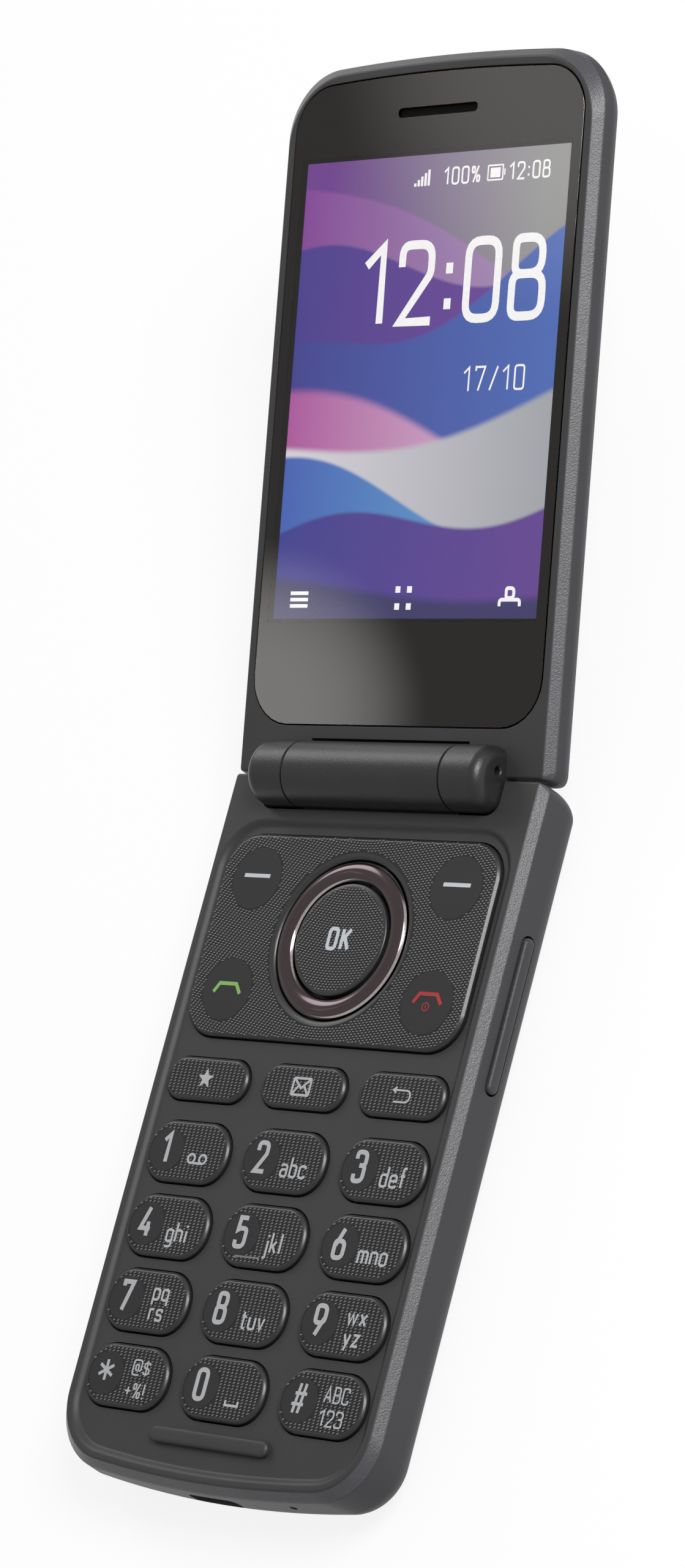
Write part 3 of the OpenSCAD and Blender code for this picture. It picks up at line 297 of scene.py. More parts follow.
def plan(half, y0, r0, y1, r1, arch, d=0.0, e=0.0):
    """Outline of a half of the phone. d insets the sides and the arched end, e the straight end."""
    h, far_r, near_r, big_r = half - d, max(r1 - d, LEAST_R), max(r0 - d, LEAST_R), arch - d
    near_y = y0 + e + near_r
    big_y = y1 - d - big_r
    far_y = big_y + math.sqrt((big_r - far_r) ** 2 - (h - far_r) ** 2)
    a = math.degrees(math.atan2(far_y - big_y, h - far_r))
    crown = arc(0, big_y, big_r, a, 180 - a, ARCH_STEPS)[1:-1]
    return (arc(h - near_r, near_y, near_r, -90, 0, NEAR_STEPS)
            + arc(h - far_r, far_y, far_r, 0, a, FAR_STEPS) + crown
            + arc(far_r - h, far_y, far_r, 180 - a, 180, FAR_STEPS)
            + arc(near_r - h, near_y, near_r, 180, 270, NEAR_STEPS))


def rounded(w, h, r, inset=0.0, steps=10):
    """Rounded rectangle about the origin."""
    a, b = w / 2 - inset, h / 2 - inset
    r = min(max(r - inset, LEAST_CORNER), a - LEAST_FLAT, b - LEAST_FLAT)
    return (arc(a - r, b - r, r, 0, 90, steps) + arc(r - a, b - r, r, 90, 180, steps)
            + arc(r - a, r - b, r, 180, 270, steps) + arc(a - r, r - b, r, 270, 360, steps))


def soften(points, radius):
    """An open polyline with its corners rounded. A point may carry a radius of its own."""
    out = [tuple(points[0][:2])]
    blends = [i / BEND_STEPS for i in range(BEND_STEPS + 1)]
    for before, here, after in zip(points, points[1:], points[2:]):
        r = here[2] if len(here) > 2 else radius
        p = Vector(here[:2])
        u, v = Vector(before[:2]) - p, Vector(after[:2]) - p
        turn = u.angle(v)
        if r <= 0 or turn > NEARLY_STRAIGHT:
            out.append(tuple(p))
            continue
        cut = min(r / math.tan(turn / 2), u.length / 2, v.length / 2)
        a, b = p + u.normalized() * cut, p + v.normalized() * cut
        out += [tuple(a.lerp(p, t).lerp(p.lerp(b, t), t)) for t in blends]
    return out + [tuple(points[-1][:2])]


print("outline points:", len(plan(26, 0, 1, 90, 9, 160)))

# %% Lofts, cuts and where a piece rides
# Edges sharper than this stay hard, and points nearer than this, in metres, are one
SHARP, TOUCHING = math.radians(36), 1e-7


def made_plain(piece):
    """Bakes a piece's modifiers into a plain mesh."""
    graph = bpy.context.evaluated_depsgraph_get()
    plain = bpy.data.meshes.new_from_object(piece.evaluated_get(graph))
    piece.modifiers.clear()
    piece.data = plain
    return piece


def shade(piece):
    """Points the faces outwards, keeps the sharp edges hard and lets wide flats mirror as flats."""
    mesh = bmesh.new()
    mesh.from_mesh(piece.data)
    bmesh.ops.remove_doubles(mesh, verts=mesh.verts, dist=TOUCHING)
    bmesh.ops.recalc_face_normals(mesh, faces=mesh.faces)
    for face in mesh.faces:
        face.smooth = True
    for edge in mesh.edges:
        edge.smooth = len(edge.link_faces) == 2 and edge.calc_face_angle(0) < SHARP
    mesh.to_mesh(piece.data)
    mesh.free()
    level = piece.modifiers.new("level", "WEIGHTED_NORMAL")
    level.keep_sharp = True
    return made_plain(piece)


def loft(name, rings, finishes, bands=None, ring_shut=False):
    """Joins outlines with quads and caps both ends. bands gives each band's finish.

    With ring_shut the last outline joins the first, as round a torus, and nothing is capped.
    """
    mesh = bmesh.new()
    rows = [[mesh.verts.new(p) for p in ring] for ring in rings]
    count = len(rows[0])
    pairs = list(zip(rows, rows[1:])) + ([(rows[-1], rows[0])] if ring_shut else [])
    for k, (low, high) in enumerate(pairs):
        for i in range(count):
            j = (i + 1) % count
            face = mesh.faces.new((low[i], low[j], high[j], high[i]))
            face.material_index = bands[k] if bands else 0
    if not ring_shut:
        mesh.faces.new(rows[0][::-1]).material_index = bands[0] if bands else 0
        mesh.faces.new(rows[-1]).material_index = bands[-1] if bands else 0
    data = bpy.data.meshes.new(name)
    mesh.to_mesh(data)
    mesh.free()
    for finish in finishes:
        data.materials.append(finish)
    piece = bpy.data.objects.new(name, data)
    scene.collection.objects.link(piece)
    return shade(piece)


def carve(piece, *cutters):
    """Cuts the cutters out of the piece, as the CAD's difference does, and removes them."""
    for cutter in cutters:
        cut = piece.modifiers.new("cut", "BOOLEAN")
        cut.operation, cut.solver, cut.object = "DIFFERENCE", "EXACT", cutter
    made_plain(piece)
    for cutter in cutters:
        bpy.data.objects.remove(cutter)
    return shade(piece)


def settle(piece, body, slot, *nodes):
    """Rides on the body and stands for the CAD nodes, which it hides. The slot is not used."""
    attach(piece, body)
    if nodes:
        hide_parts(*nodes)
    return piece


def middle(low, high):
    """Middle of a CAD node's box, in mm."""
    return (low + high) / 2 / MM


print("edges stay hard from, degrees:", round(math.degrees(SHARP)))

# %% [markdown]
# ## Shell of the base
#
# On the phone this is one moulding: a rim round a sunk keypad floor, a grained chamfer, and flanks
# that flare a little and then tuck under. Its profile is walked from the floor outwards and down,
# and each step of the profile is one outline. The holes for keys, the notches for the lid's
# knuckles and the inside are then cut out.

# %% Outlines of the base
HALF_W, BASE_L, BASE_T, PART_Z = 26.15, 90.27, 9.6, 2.6
FLOOR_Z, UNDER_Z, WALL, NEAR_WALL = 9.0, 8.0, 1.5, 2.5
BASE_SIDE, BASE_NEAR_SIDE, BACK_ROUND = 5.0, 3.3, 7.2
# Corners at the face, how much they change down the flank, and the far end's arch
NEAR_R, NEAR_GROW, FAR_R, FAR_DRAW, BASE_ARCH = 1.4, 0.8, 9.3, 2.6, 160
# The CAD's arched end has flats, which lie a little further in than the arc
FAR_ROOM = 0.03
RIM, RECESS_S, RECESS_R = 2.5, 6.3, 6.0
EDGE_R, SEAM = 0.35, 0.12
part_depth = BASE_T - PART_Z


def on_base(points, z):
    return [Vector((x, y, z)) * MM for x, y in points]


def tuck(depth, begin, total, inset):
    """How far a flank has drawn in at a depth: a quarter ellipse from where it begins."""
    if depth <= begin:
        return 0.0
    return inset * (1 - math.sqrt(max(0.0, 1 - ((depth - begin) / (total - begin)) ** 2)))


def edge_round(depth):
    """How far the straight end has drawn in near its top edge."""
    return EDGE_R - math.sqrt(max(0.0, EDGE_R * EDGE_R - (EDGE_R - min(depth, EDGE_R)) ** 2))


def base_ring(d, e, z, part=None):
    """Outline of the base at a height. Deeper down the far corners tighten and the near ones grow."""
    part = min(1.0, (BASE_T - z) / BASE_SIDE) if part is None else part
    points = plan(HALF_W, 0, NEAR_R + NEAR_GROW * part, BASE_L - FAR_ROOM, FAR_R - FAR_DRAW * part,
                  BASE_ARCH, d, e)
    return [Vector((x, BASE_L / 2 - s, z)) * MM for x, s in points]


def tucked_ring(depth, more=0.0):
    """Outline of the base at a depth where its flanks tuck under."""
    side, near = [tuck(depth, begin, BASE_T, BACK_ROUND) for begin in (BASE_SIDE, BASE_NEAR_SIDE)]
    return base_ring(side + more, near + more, BASE_T - depth)


def recess_ring(d, z):
    """Outline of the sunk keypad floor, which runs along inside the rim."""
    points = plan(HALF_W - RIM, RECESS_S, RECESS_R, BASE_L - RIM, FAR_R - RIM, BASE_ARCH - RIM, d, d)
    return [Vector((x, BASE_L / 2 - s, z)) * MM for x, s in points]


print("base, mm:", 2 * HALF_W, "x", BASE_L, "x", BASE_T)

# %% Base shell
# Insets of the face's rim, its edge and the chamfer's foot, and the edge's radius
FACE_IN, EDGE_IN, FLARE, EDGE_SOFT = 2.2, 1.4, 0.3, 0.45
# Depths at which one finish gives way to the next
FACE_END, CHAMFER = 0.12, 1.25
BASE_FOOT, BASE_FOOT_SOFT = 1.3, 0.6
# Dish between the keypad floor and the rim: inset and rise of each step
DISH = [(0.62, 0.0), (0.48, 0.03), (0.34, 0.1), (0.2, 0.21), (0.06, 0.33), (-0.08, 0.44),
        (-0.22, 0.53), (-0.36, 0.58), (-0.52, 0.6)]


def chamfered(foot, foot_soft, side):
    """Flank from the face to its widest: a soft edge, a chamfer, and a slow flare below its foot."""
    return soften([(FACE_IN, 0), (EDGE_IN, 0, EDGE_SOFT), (FLARE, foot, foot_soft), (0.0, side)], 0)[1:-1]


def band_at(depth):
    """Finish by depth: satin on the face, coarse grain with a partly painted highlight on the chamfer,
    finer grain below.
    """
    return 0 if depth < FACE_END else 1 if depth < CHAMFER else 2


flank = chamfered(BASE_FOOT, BASE_FOOT_SOFT, BASE_SIDE)
flank += [(FLARE * (BASE_SIDE - t) / (BASE_SIDE - BASE_FOOT), t) for t in (2.6, 3.3, 3.8, 4.3, 4.7)]
flank += [(tuck(t, BASE_SIDE, BASE_T, BACK_ROUND), t) for t in (5.0, 5.5, 6.0, 6.5, 6.88)]
rings = [recess_ring(d, FLOOR_Z + up) for d, up in DISH]
bands = [0] * len(rings)
for d, depth in flank:
    near = edge_round(depth) + tuck(depth, BASE_NEAR_SIDE, BASE_T, BACK_ROUND)
    rings.append(base_ring(d, near, BASE_T - depth))
    bands.append(band_at(depth))
base_seam = tucked_ring(part_depth, SEAM)
base_shell = loft("base_shell", rings + [base_seam], [satin_abs, grained_abs_painted_highlight, flank_abs], bands)
print("base rings:", len(rings) + 1)

# %% Blocks to cut with
AXIS_Y, AXIS_Z, BARREL_R, NOTCH_GAP = 44.935, 10.4, 4.15, 0.3
MID_HALF, BARREL_HALF, SOFT_END, END_STEPS = 12.8, 19.2, 1.6, 14
NOTCH_R = BARREL_R + NOTCH_GAP


def knuckle(name, profile, finishes):
    """A form turned about the hinge's axis, from its lengths and radii."""
    rings = []
    for x, r in profile:
        turn = [((AXIS_Y + r * c) * MM, (AXIS_Z + r * s) * MM) for c, s in circle(1, 96)]
        rings.append([Vector((x * MM, y, z)) for y, z in turn])
    return loft(name, rings, finishes)


def rod(name, r, x0, x1):
    return knuckle(name, [(x0, r), (x1, r)], [])


def prism(name, points, z0, z1):
    return loft(name, [on_base(points, z0), on_base(points, z1)], [])


def through_side(name, points, x0, x1):
    """A block along x, from an outline in y and z."""
    return loft(name, [[Vector((x, y, z)) * MM for y, z in points] for x in (x0, x1)], [])


def through_end(name, points, y0, y1):
    """A block along y, from an outline in x and z."""
    return loft(name, [[Vector((x, y, z)) * MM for x, z in points] for y in (y0, y1)], [])


print("notch radius, mm:", round(NOTCH_R, 2))

# %% Inside of the base, key holes and notches
FLANGE, KEY_CLEAR, TALL_KEY, TALL_R, LOW_R = 0.5, 0.2, 7, 3.7, 2.7
NAV_W, NAV_H, NAV_R, NAV_Y = 44.9, 26.4, 4.8, ring_middle.y / MM
NOTCH_WALL, NOTCH_MID, NOTCH_REACH, GROOVE_DROP, GROOVE_ROOM = 0.9, 16.15, 4.25, 1.6, 0.1
HOLE_Z = (UNDER_Z - 1, BASE_T + 1)


def cap_size(low, high):
    """Width, height, corner radius and middle of a key's cap, inside its CAD flange."""
    size = (high - low) / MM
    w, h = size.x - 2 * FLANGE, size.y - 2 * FLANGE
    return w, h, TALL_R if h > TALL_KEY else LOW_R, middle(low, high)


def key_hole(name, w, h, r, x, y):
    outline = rounded(w + 2 * KEY_CLEAR, h + 2 * KEY_CLEAR, r + KEY_CLEAR)
    return prism(name, shifted(outline, x, y), *HOLE_Z)


cavity = loft("cavity", [base_ring(WALL, NEAR_WALL, z, 1) for z in (PART_Z - 1, UNDER_Z)], [])
carve(cavity, *[rod("notch_wall", NOTCH_R + NOTCH_WALL, x - NOTCH_REACH, x + NOTCH_REACH)
                for x in (-NOTCH_MID, NOTCH_MID)])
key_boxes = {n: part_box(n) for n in frame["nodes"] if n.startswith("key_")}
cutters = [cavity]
for low, high in key_boxes.values():
    w, h, r, mid = cap_size(low, high)
    cutters.append(key_hole("key_hole", w, h, r, mid.x, mid.y))
cutters.append(key_hole("nav_hole", NAV_W, NAV_H, NAV_R, 0, NAV_Y))
end_r = SOFT_END + NOTCH_GAP
notch = [(MID_HALF, NOTCH_R)] + arc(BARREL_HALF - SOFT_END, NOTCH_R - end_r, end_r, 90, 0, END_STEPS)
cutters += [knuckle("notch", [(side * x, r) for x, r in notch], []) for side in (-1, 1)]
reach = math.degrees(math.asin(GROOVE_DROP / NOTCH_R))
segment = arc(AXIS_Y, AXIS_Z, NOTCH_R, -reach, 180 + reach, 48)
cutters.append(through_side("groove", segment, -MID_HALF - GROOVE_ROOM, MID_HALF + GROOVE_ROOM))
print("cutters so far:", len(cutters))

# %% Holes in the walls of the base
ROCKER_L, ROCKER_W, ROCKER_CLEAR, SLOT_R = 19.4, 1.8, 0.25, 1.15
USB_W, USB_H, USB_R, MIC_R, MIC_X, MIC_Z = 7.8, 2.8, 1.1, 0.5, 13, 6.3
# From where to where each hole is cut, across or along the phone
SLOT_X, USB_Y, MIC_Y = (23.4, 27), (-46, -39), (-46, -41)
rocker_mid = middle(*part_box("side_rocker"))
slot = rounded(ROCKER_L + 2 * ROCKER_CLEAR, ROCKER_W + 2 * ROCKER_CLEAR, SLOT_R)
cutters.append(through_side("rocker_slot", shifted(slot, rocker_mid.y, rocker_mid.z), *SLOT_X))
usb_mid = middle(*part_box("usb_socket"))
mouth = shifted(rounded(USB_W, USB_H, USB_R), usb_mid.x, usb_mid.z)
cutters.append(through_end("usb_slot", mouth, *USB_Y))
cutters.append(through_end("mic_hole", shifted(circle(MIC_R, 20), MIC_X, MIC_Z), *MIC_Y))
carve(base_shell, *cutters)
settle(base_shell, "base", "housing_plastic", "base_front_housing")
print("base shell faces:", len(base_shell.data.polygons))

# %% [markdown]
# ## Barrel of the hinge
#
# The middle knuckle belongs to the base and the two outer ones to the lid. Each is a turned form,
# so a profile of radius against length is swung round the hinge's axis. The lid's knuckles have
# large soft ends, and a fine seam is left between neighbours.

# %% Knuckles
KNUCKLE_GAP = 0.2
# The small hole in the right end: lengths and radii, and its place beside the axis
PIN_HOLE = [(17.5, 0.5), (19.05, 0.5), (19.25, 0.75)]
PIN_AT = Vector((0, 0.885, 0.553))
# Length and radius of each step. The edges at the seams are rounded in small steps
half_barrel = [(MID_HALF, BARREL_R - 0.35), (MID_HALF, BARREL_R - 0.12),
               (MID_HALF - 0.04, BARREL_R - 0.04), (MID_HALF - 0.14, BARREL_R)]
barrel = knuckle("middle_knuckle", [(-x, r) for x, r in half_barrel] + half_barrel[::-1], [barrel_abs])
settle(barrel, "base", "housing_plastic", "base_front_housing")
x0 = MID_HALF + KNUCKLE_GAP
end_profile = [(x0, BARREL_R - 0.4), (x0, BARREL_R - 0.14),
               (x0 + 0.05, BARREL_R - 0.05), (x0 + 0.16, BARREL_R)]
end_profile += arc(BARREL_HALF - SOFT_END, BARREL_R - SOFT_END, SOFT_END, 90, 0, END_STEPS)
for side, name in ((1, "right_knuckle"), (-1, "left_knuckle")):
    end = knuckle(name, [(side * x, r) for x, r in end_profile], [barrel_abs])
    if side > 0:
        pin_hole = knuckle("pin_hole", PIN_HOLE, [])
        pin_hole.data.transform(Matrix.Translation(PIN_AT * MM))
        carve(end, pin_hole)
    settle(end, "lid", "housing_plastic", "lid_front_frame")
print("knuckles span, mm:", 2 * BARREL_HALF)

# %% [markdown]
# ## Battery cover
#
# The cover closes the back. It goes on where the flanks end, tucks under in a quarter ellipse and
# ends in the flat that lies on the table. A small bevel on both sides of the parting line draws the
# seam. The sound holes repeat, so a Geometry Nodes tree sets a row of round cutters.

# %% Helpers for Geometry Nodes, and the row of holes


def run_tree(piece, tree, values):
    """Runs a Geometry Nodes tree on a piece and keeps the result as a plain mesh."""
    made = piece.modifiers.new("nodes", "NODES")
    made.node_group = tree
    for socket in tree.interface.items_tree:
        if socket.in_out == "INPUT" and socket.name in values:
            made[socket.identifier] = values[socket.name]
    piece.data.update_tag()
    graph = bpy.context.evaluated_depsgraph_get()
    mesh = bpy.data.meshes.new_from_object(piece.evaluated_get(graph))
    piece.modifiers.clear()
    if piece.type == "MESH":
        piece.data = mesh
        return piece
    name = piece.name
    bpy.data.objects.remove(piece)
    plain = bpy.data.objects.new(name, mesh)
    scene.collection.objects.link(plain)
    return plain


def empty_mesh(name):
    piece = bpy.data.objects.new(name, bpy.data.meshes.new(name))
    scene.collection.objects.link(piece)
    return piece


def new_tree(name, sockets):
    """A tree with a Geometry input and output and the named inputs, and what its inputs give."""
    tree = bpy.data.node_groups.new(name, "GeometryNodeTree")
    tree.interface.new_socket("Geometry", in_out="INPUT", socket_type="NodeSocketGeometry")
    for label, kind in sockets.items():
        tree.interface.new_socket(label, in_out="INPUT", socket_type="NodeSocket" + kind)
    tree.interface.new_socket("Geometry", in_out="OUTPUT", socket_type="NodeSocketGeometry")
    return tree, add(tree, "NodeGroupInput").outputs


hole_row, given = new_tree("row_of_holes", {"Count": "Int", "Pitch": "Vector", "First": "Vector",
                                            "Radius": "Float", "Depth": "Float", "Finish": "Material"})
spots = add(hole_row, "GeometryNodeMeshLine", {"Count": given["Count"], "Start Location": given["First"],
                                               "Offset": given["Pitch"]})
pin = add(hole_row, "GeometryNodeMeshCylinder", {"Vertices": 24, "Radius": given["Radius"],
                                                 "Depth": given["Depth"]})
pins = add(hole_row, "GeometryNodeInstanceOnPoints", {"Points": spots, "Instance": pin})
solid = add(hole_row, "GeometryNodeRealizeInstances", {0: pins})
painted = add(hole_row, "GeometryNodeSetMaterial", {"Geometry": solid, "Material": given["Finish"]})
add(hole_row, "NodeGroupOutput", {0: painted})
print("nodes for a row of holes:", len(hole_row.nodes))

# %% Battery cover
# Inner face of the cover: inset of the sides, inset of the near end, and height
COVER_INSIDE = [(6.9, 6.9, 1.1), (4.0, 4.3, 1.5), (1.95, 2.6, PART_Z)]
HOLES, HOLE_PITCH, HOLE_R, HOLE_DEPTH = 5, 2.6, 0.6, 6


def tucked_depths(begin, side, total, count):
    """Depths from a seam down to the flat back, evenly round the quarter ellipse."""
    span = total - side
    first = math.asin((begin - side) / span)
    return [side + span * math.sin(first + i / (count - 1) * (math.pi / 2 - first)) for i in range(count)]


rings = [base_ring(*step) for step in COVER_INSIDE] + [base_seam]
rings += [tucked_ring(t) for t in tucked_depths(part_depth + SEAM, BASE_SIDE, BASE_T, 12)]
cover = loft("battery_cover_shell", rings, [flank_abs])
speaker_mid = middle(*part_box("loudspeaker"))
first_hole = Vector((speaker_mid.x - (HOLES - 1) / 2 * HOLE_PITCH, speaker_mid.y, 0)) * MM
row = {"Count": HOLES, "Pitch": (HOLE_PITCH * MM, 0, 0), "First": first_hole, "Radius": HOLE_R * MM,
       "Depth": HOLE_DEPTH * MM, "Finish": flank_abs}
carve(cover, run_tree(empty_mesh("sound_holes"), hole_row, row))
settle(cover, "cover", "cover_plastic", "battery_cover")
print("cover rings:", len(rings))

# %% [markdown]
# ## Shells of the lid
#
# The lid is built lying flat, in its own numbers: across, along from the hinge and out of its
# face. One function turns such a point to where the open lid is. Front frame and back cover meet
# in a seam low on the flank. The glass seat, the opening for the display and the trough round the
# middle knuckle are cut out.

# %% Outlines of the lid
TILT, LID_DROP, LID_T, LID_SIDE, LID_PART = math.radians(15.3), 1.25, 6.6, 2.2, 4.2
LID_V0, LID_V1, LID_ARCH = 0.25, 89.95, 280
LID_NEAR_R, LID_NEAR_GROW, LID_FAR_R, LID_FAR_DRAW = 1.0, 1.4, 10.2, 2.4
# The far end bulges a hair over the chamfer and leans in below it
BULGE, LEAN_FROM, LEAN_SLOPE, LEAN_MOST = 0.08, 1.0, 0.4, 1.0
GLASS_HALF, GLASS_V0, GLASS_V1, GLASS_T, GLASS_R, GLASS_ARCH = 23.65, 6.25, 87.45, 0.9, 6.1, 277.5
hinge_at = Matrix.Translation((0, AXIS_Y * MM, AXIS_Z * MM))
turn_up = hinge_at @ Matrix.Rotation(TILT, 4, "X") @ Matrix.Translation((0, 0, -LID_DROP * MM))


def on_lid(points, z):
    return [turn_up @ (Vector((x, v, z)) * MM) for x, v in points]


def lid_ring(d, e, z):
    """Outline of the lid at a height under its face."""
    part = min(1.0, -z / LID_SIDE)
    lean = min(LEAN_MOST, LEAN_SLOPE * max(0.0, -z - LEAN_FROM)) - BULGE * min(1.0, -z)
    return on_lid(plan(HALF_W, LID_V0, LID_NEAR_R + LID_NEAR_GROW * part, LID_V1 - lean,
                       LID_FAR_R - LID_FAR_DRAW * part, LID_ARCH, d, e), z)


def glass_ring(grow, z):
    """Outline of the front glass, grown or shrunk a little."""
    r = GLASS_R + grow
    return on_lid(plan(GLASS_HALF + grow, GLASS_V0 - grow, r, GLASS_V1 + grow, r, GLASS_ARCH + grow), z)


def lid_prism(name, points, v, z0, z1):
    """A block through the lid, from an outline about a point on its middle line."""
    return loft(name, [on_lid(shifted(points, 0, v), z) for z in (z0, z1)], [])


def lid_end(depth):
    """How far the lid's straight end has drawn in at a depth. It stays upright on the open lid."""
    return edge_round(depth) + tuck(depth, LID_SIDE, LID_T, BACK_ROUND / 2) - depth * math.tan(TILT)


def lid_tucked_ring(depth, more=0.0):
    """Outline of the lid at a depth where its flanks tuck under."""
    return lid_ring(tuck(depth, LID_SIDE, LID_T, BACK_ROUND) + more, lid_end(depth) + more, -depth)


print("lid, mm:", 2 * HALF_W, "x", LID_V1 - LID_V0, "x", LID_T)

# %% Lid frame
LID_FOOT, LID_FOOT_SOFT = 1.15, 0.5
PICTURE_V0, PICTURE_V1, PICTURE_HALF, EAR_V = 19.55, 77.15, 21.6, 82.55
# Step of the frame round the glass: how far it stands off the glass, and height
GLASS_SEAT = [(0.12, -GLASS_T), (0.12, -0.12), (0.14, -0.04), (0.22, 0.0)]
PANEL_BELOW, PANEL_ABOVE, OPENING_W, OPENING_ROOM, OPENING_R = 3.5, 1.2, 45.8, 0.2, 0.3
OPENING_Z = (-2.5, -0.5)
# Width, height and corner of the earpiece's hole in the frame, slot in the glass and gap in the ink
EAR_HOLE, EAR_SLOT, EAR_GAP = (11.4, 0.7, 0.35), (13, 1.2, 0.6), (13.2, 1.4, 0.7)
HOLLOW_Z, TROUGH_WALL, TROUGH_GAP = -1.7, 1.25, 0.62
flank = chamfered(LID_FOOT, LID_FOOT_SOFT, LID_SIDE)
flank += [(tuck(t, LID_SIDE, LID_T, BACK_ROUND), t) for t in (2.2, 2.6, 3.0, 3.4, 3.8, 4.08)]
rings = [glass_ring(grow, z) for grow, z in GLASS_SEAT]
bands = [0] * len(rings)
for d, depth in flank:
    rings.append(lid_ring(d, lid_end(depth), -depth))
    bands.append(band_at(depth))
lid_seam = lid_tucked_ring(LID_PART, SEAM)
lid_frame = loft("lid_frame", rings + [lid_seam], [satin_abs, grained_abs_painted_highlight, flank_abs], bands)
hollow = loft("hollow", [lid_ring(WALL, WALL, z) for z in (HOLLOW_Z, -LID_PART - 1)], [])
carve(hollow, rod("trough_wall", BARREL_R + TROUGH_WALL, -MID_HALF - 1, MID_HALF + 1))
panel_low, panel_high = PICTURE_V0 - PANEL_BELOW, PICTURE_V1 + PANEL_ABOVE
opening = rounded(OPENING_W, panel_high - panel_low + OPENING_ROOM, OPENING_R)
carve(lid_frame, hollow,
      lid_prism("opening", opening, (panel_low + panel_high) / 2, *OPENING_Z),
      lid_prism("ear_hole", rounded(*EAR_HOLE), EAR_V, *OPENING_Z),
      rod("trough", BARREL_R + TROUGH_GAP, -MID_HALF - KNUCKLE_GAP, MID_HALF + KNUCKLE_GAP))
settle(lid_frame, "lid", "housing_plastic", "lid_front_frame")
print("lid frame faces:", len(lid_frame.data.polygons))

# %% Lid back
OUTER_V, LENS_V, OUTER_W, OUTER_H, OUTER_R, LENS_R, SEAT_ROOM = 42.55, 68.75, 34, 38, 4, 4.2, 0.1
SEAT_Z, THROUGH_Z = (-LID_T - 1, -LID_T + 0.6), (-LID_T - 1, -LID_PART)
OUTER_HOLE, LENS_HOLE_R = (30, 34, 2), 3.0
# Inside of the back: inset of the sides, inset of the straight end, and height
BACK_INSIDE = [(3.4, 3.2, -LID_PART + 1), (4.4, 3.6, -LID_T + 1)]
rings = [lid_seam]
rings += [lid_tucked_ring(t) for t in tucked_depths(LID_PART + SEAM, LID_SIDE, LID_T, 11)]
lid_back = loft("lid_back", rings, [flank_abs])
inner = loft("inner", [lid_ring(*step) for step in BACK_INSIDE], [])
window_seat = rounded(OUTER_W + 2 * SEAT_ROOM, OUTER_H + 2 * SEAT_ROOM, OUTER_R + SEAT_ROOM)
carve(lid_back, inner,
      lid_prism("window_seat", window_seat, OUTER_V, *SEAT_Z),
      lid_prism("window_hole", rounded(*OUTER_HOLE), OUTER_V, *THROUGH_Z),
      lid_prism("lens_seat", circle(LENS_R + SEAT_ROOM, 64), LENS_V, *SEAT_Z),
      lid_prism("lens_hole", circle(LENS_HOLE_R, 48), LENS_V, *THROUGH_Z))
settle(lid_back, "lid", "housing_plastic", "lid_back_cover")
print("lid back faces:", len(lid_back.data.polygons))

# %% [markdown]
# ## Glass, printed border and picture
#
# The front glass is one polished slab with a slot for the earpiece. Black ink on its back hides
# everything but the picture. Ink and picture lie inside the slab, just over its back, so that light
# really passes the glass on its way out. Round the picture a thin skin with the same polish, black
# all through, lies on the slab and gives the border its clean mirror.

# %% Glass and what lies behind it
# Edge of the slab: how much its outline shrinks, and height
GLASS_EDGE = [(-0.04, -GLASS_T), (-0.04, -0.08), (-0.06, -0.03), (-0.1, 0.0)]
INK_Z, PICTURE_Z, SKIN_Z = (-0.88, -0.86), (-0.885, -0.875), (0.0, 0.004)
INK_IN, SKIN_IN, SKIN_ROOM, SQUARE = -0.05, -0.12, 0.5, 0.05
PICTURE_W, PICTURE_H = 2 * PICTURE_HALF, PICTURE_V1 - PICTURE_V0
picture_mid = (PICTURE_V0 + PICTURE_V1) / 2
ear_gap = rounded(*EAR_GAP)
glass = loft("front_glass", [glass_ring(grow, z) for grow, z in GLASS_EDGE], [cover_glass])
carve(glass, lid_prism("ear_slot", rounded(*EAR_SLOT), EAR_V, -2, 1))
settle(glass, "lid", "display_glass", "display_glass")
mask = loft("screen_border", [glass_ring(INK_IN, z) for z in INK_Z], [mask_ink])
gap = rounded(PICTURE_W, PICTURE_H, SQUARE, steps=1)
carve(mask, lid_prism("picture_gap", gap, picture_mid, -2, 0), lid_prism("ear_gap", ear_gap, EAR_V, -2, 0))
settle(mask, "lid", "display_glass")
skin = loft("glass_border", [glass_ring(SKIN_IN, z) for z in SKIN_Z], [black_glass])
gap = rounded(2 * (PICTURE_HALF + SKIN_ROOM), PICTURE_H + 2 * SKIN_ROOM, SQUARE, steps=1)
carve(skin, lid_prism("clear_gap", gap, picture_mid, -1, 1), lid_prism("ear_gap", ear_gap, EAR_V, -1, 1))
settle(skin, "lid", "display_glass")
corners = [(-PICTURE_HALF, PICTURE_V0), (PICTURE_HALF, PICTURE_V0),
           (PICTURE_HALF, PICTURE_V1), (-PICTURE_HALF, PICTURE_V1)]
picture = loft("picture", [on_lid(corners, z) for z in PICTURE_Z], [picture_light])
uv = picture.data.uv_layers.new(name="screen")
flatten = turn_up.inverted()
for corner in picture.data.loops:
    spot = flatten @ picture.data.vertices[corner.vertex_index].co / MM
    uv.data[corner.index].uv = ((spot.x + PICTURE_HALF) / PICTURE_W, (spot.y - PICTURE_V0) / PICTURE_H)
settle(picture, "lid", "lit_display")
print("picture, mm:", PICTURE_W, "x", round(PICTURE_H, 1))

# %% [markdown]
# ## Key caps
#
# A cap is a pillow with a soft edge: a rounded rectangle that steps inwards as it rises. Its place
# and size come from the CAD key, whose flange is half a millimetre wider all round.

# %% Key caps
KEY_TOP = 9.672
# Each step of a cap: inset and height. The last ones are the floor between the dashes
CAP = [(0.0, 7.6), (0.0, 9.3), (0.03, 9.36), (0.26, 9.59), (0.34, 9.64), (0.5, 9.66), (0.9, 9.67),
       (1.6, KEY_TOP)]
# The top of a cap, plate or OK disc between the dashes takes the valleys' painted shade
CAP_FINISHES, CAP_BANDS = [key_plastic, valley_painted_shade], [0] * 5 + [1] * 3


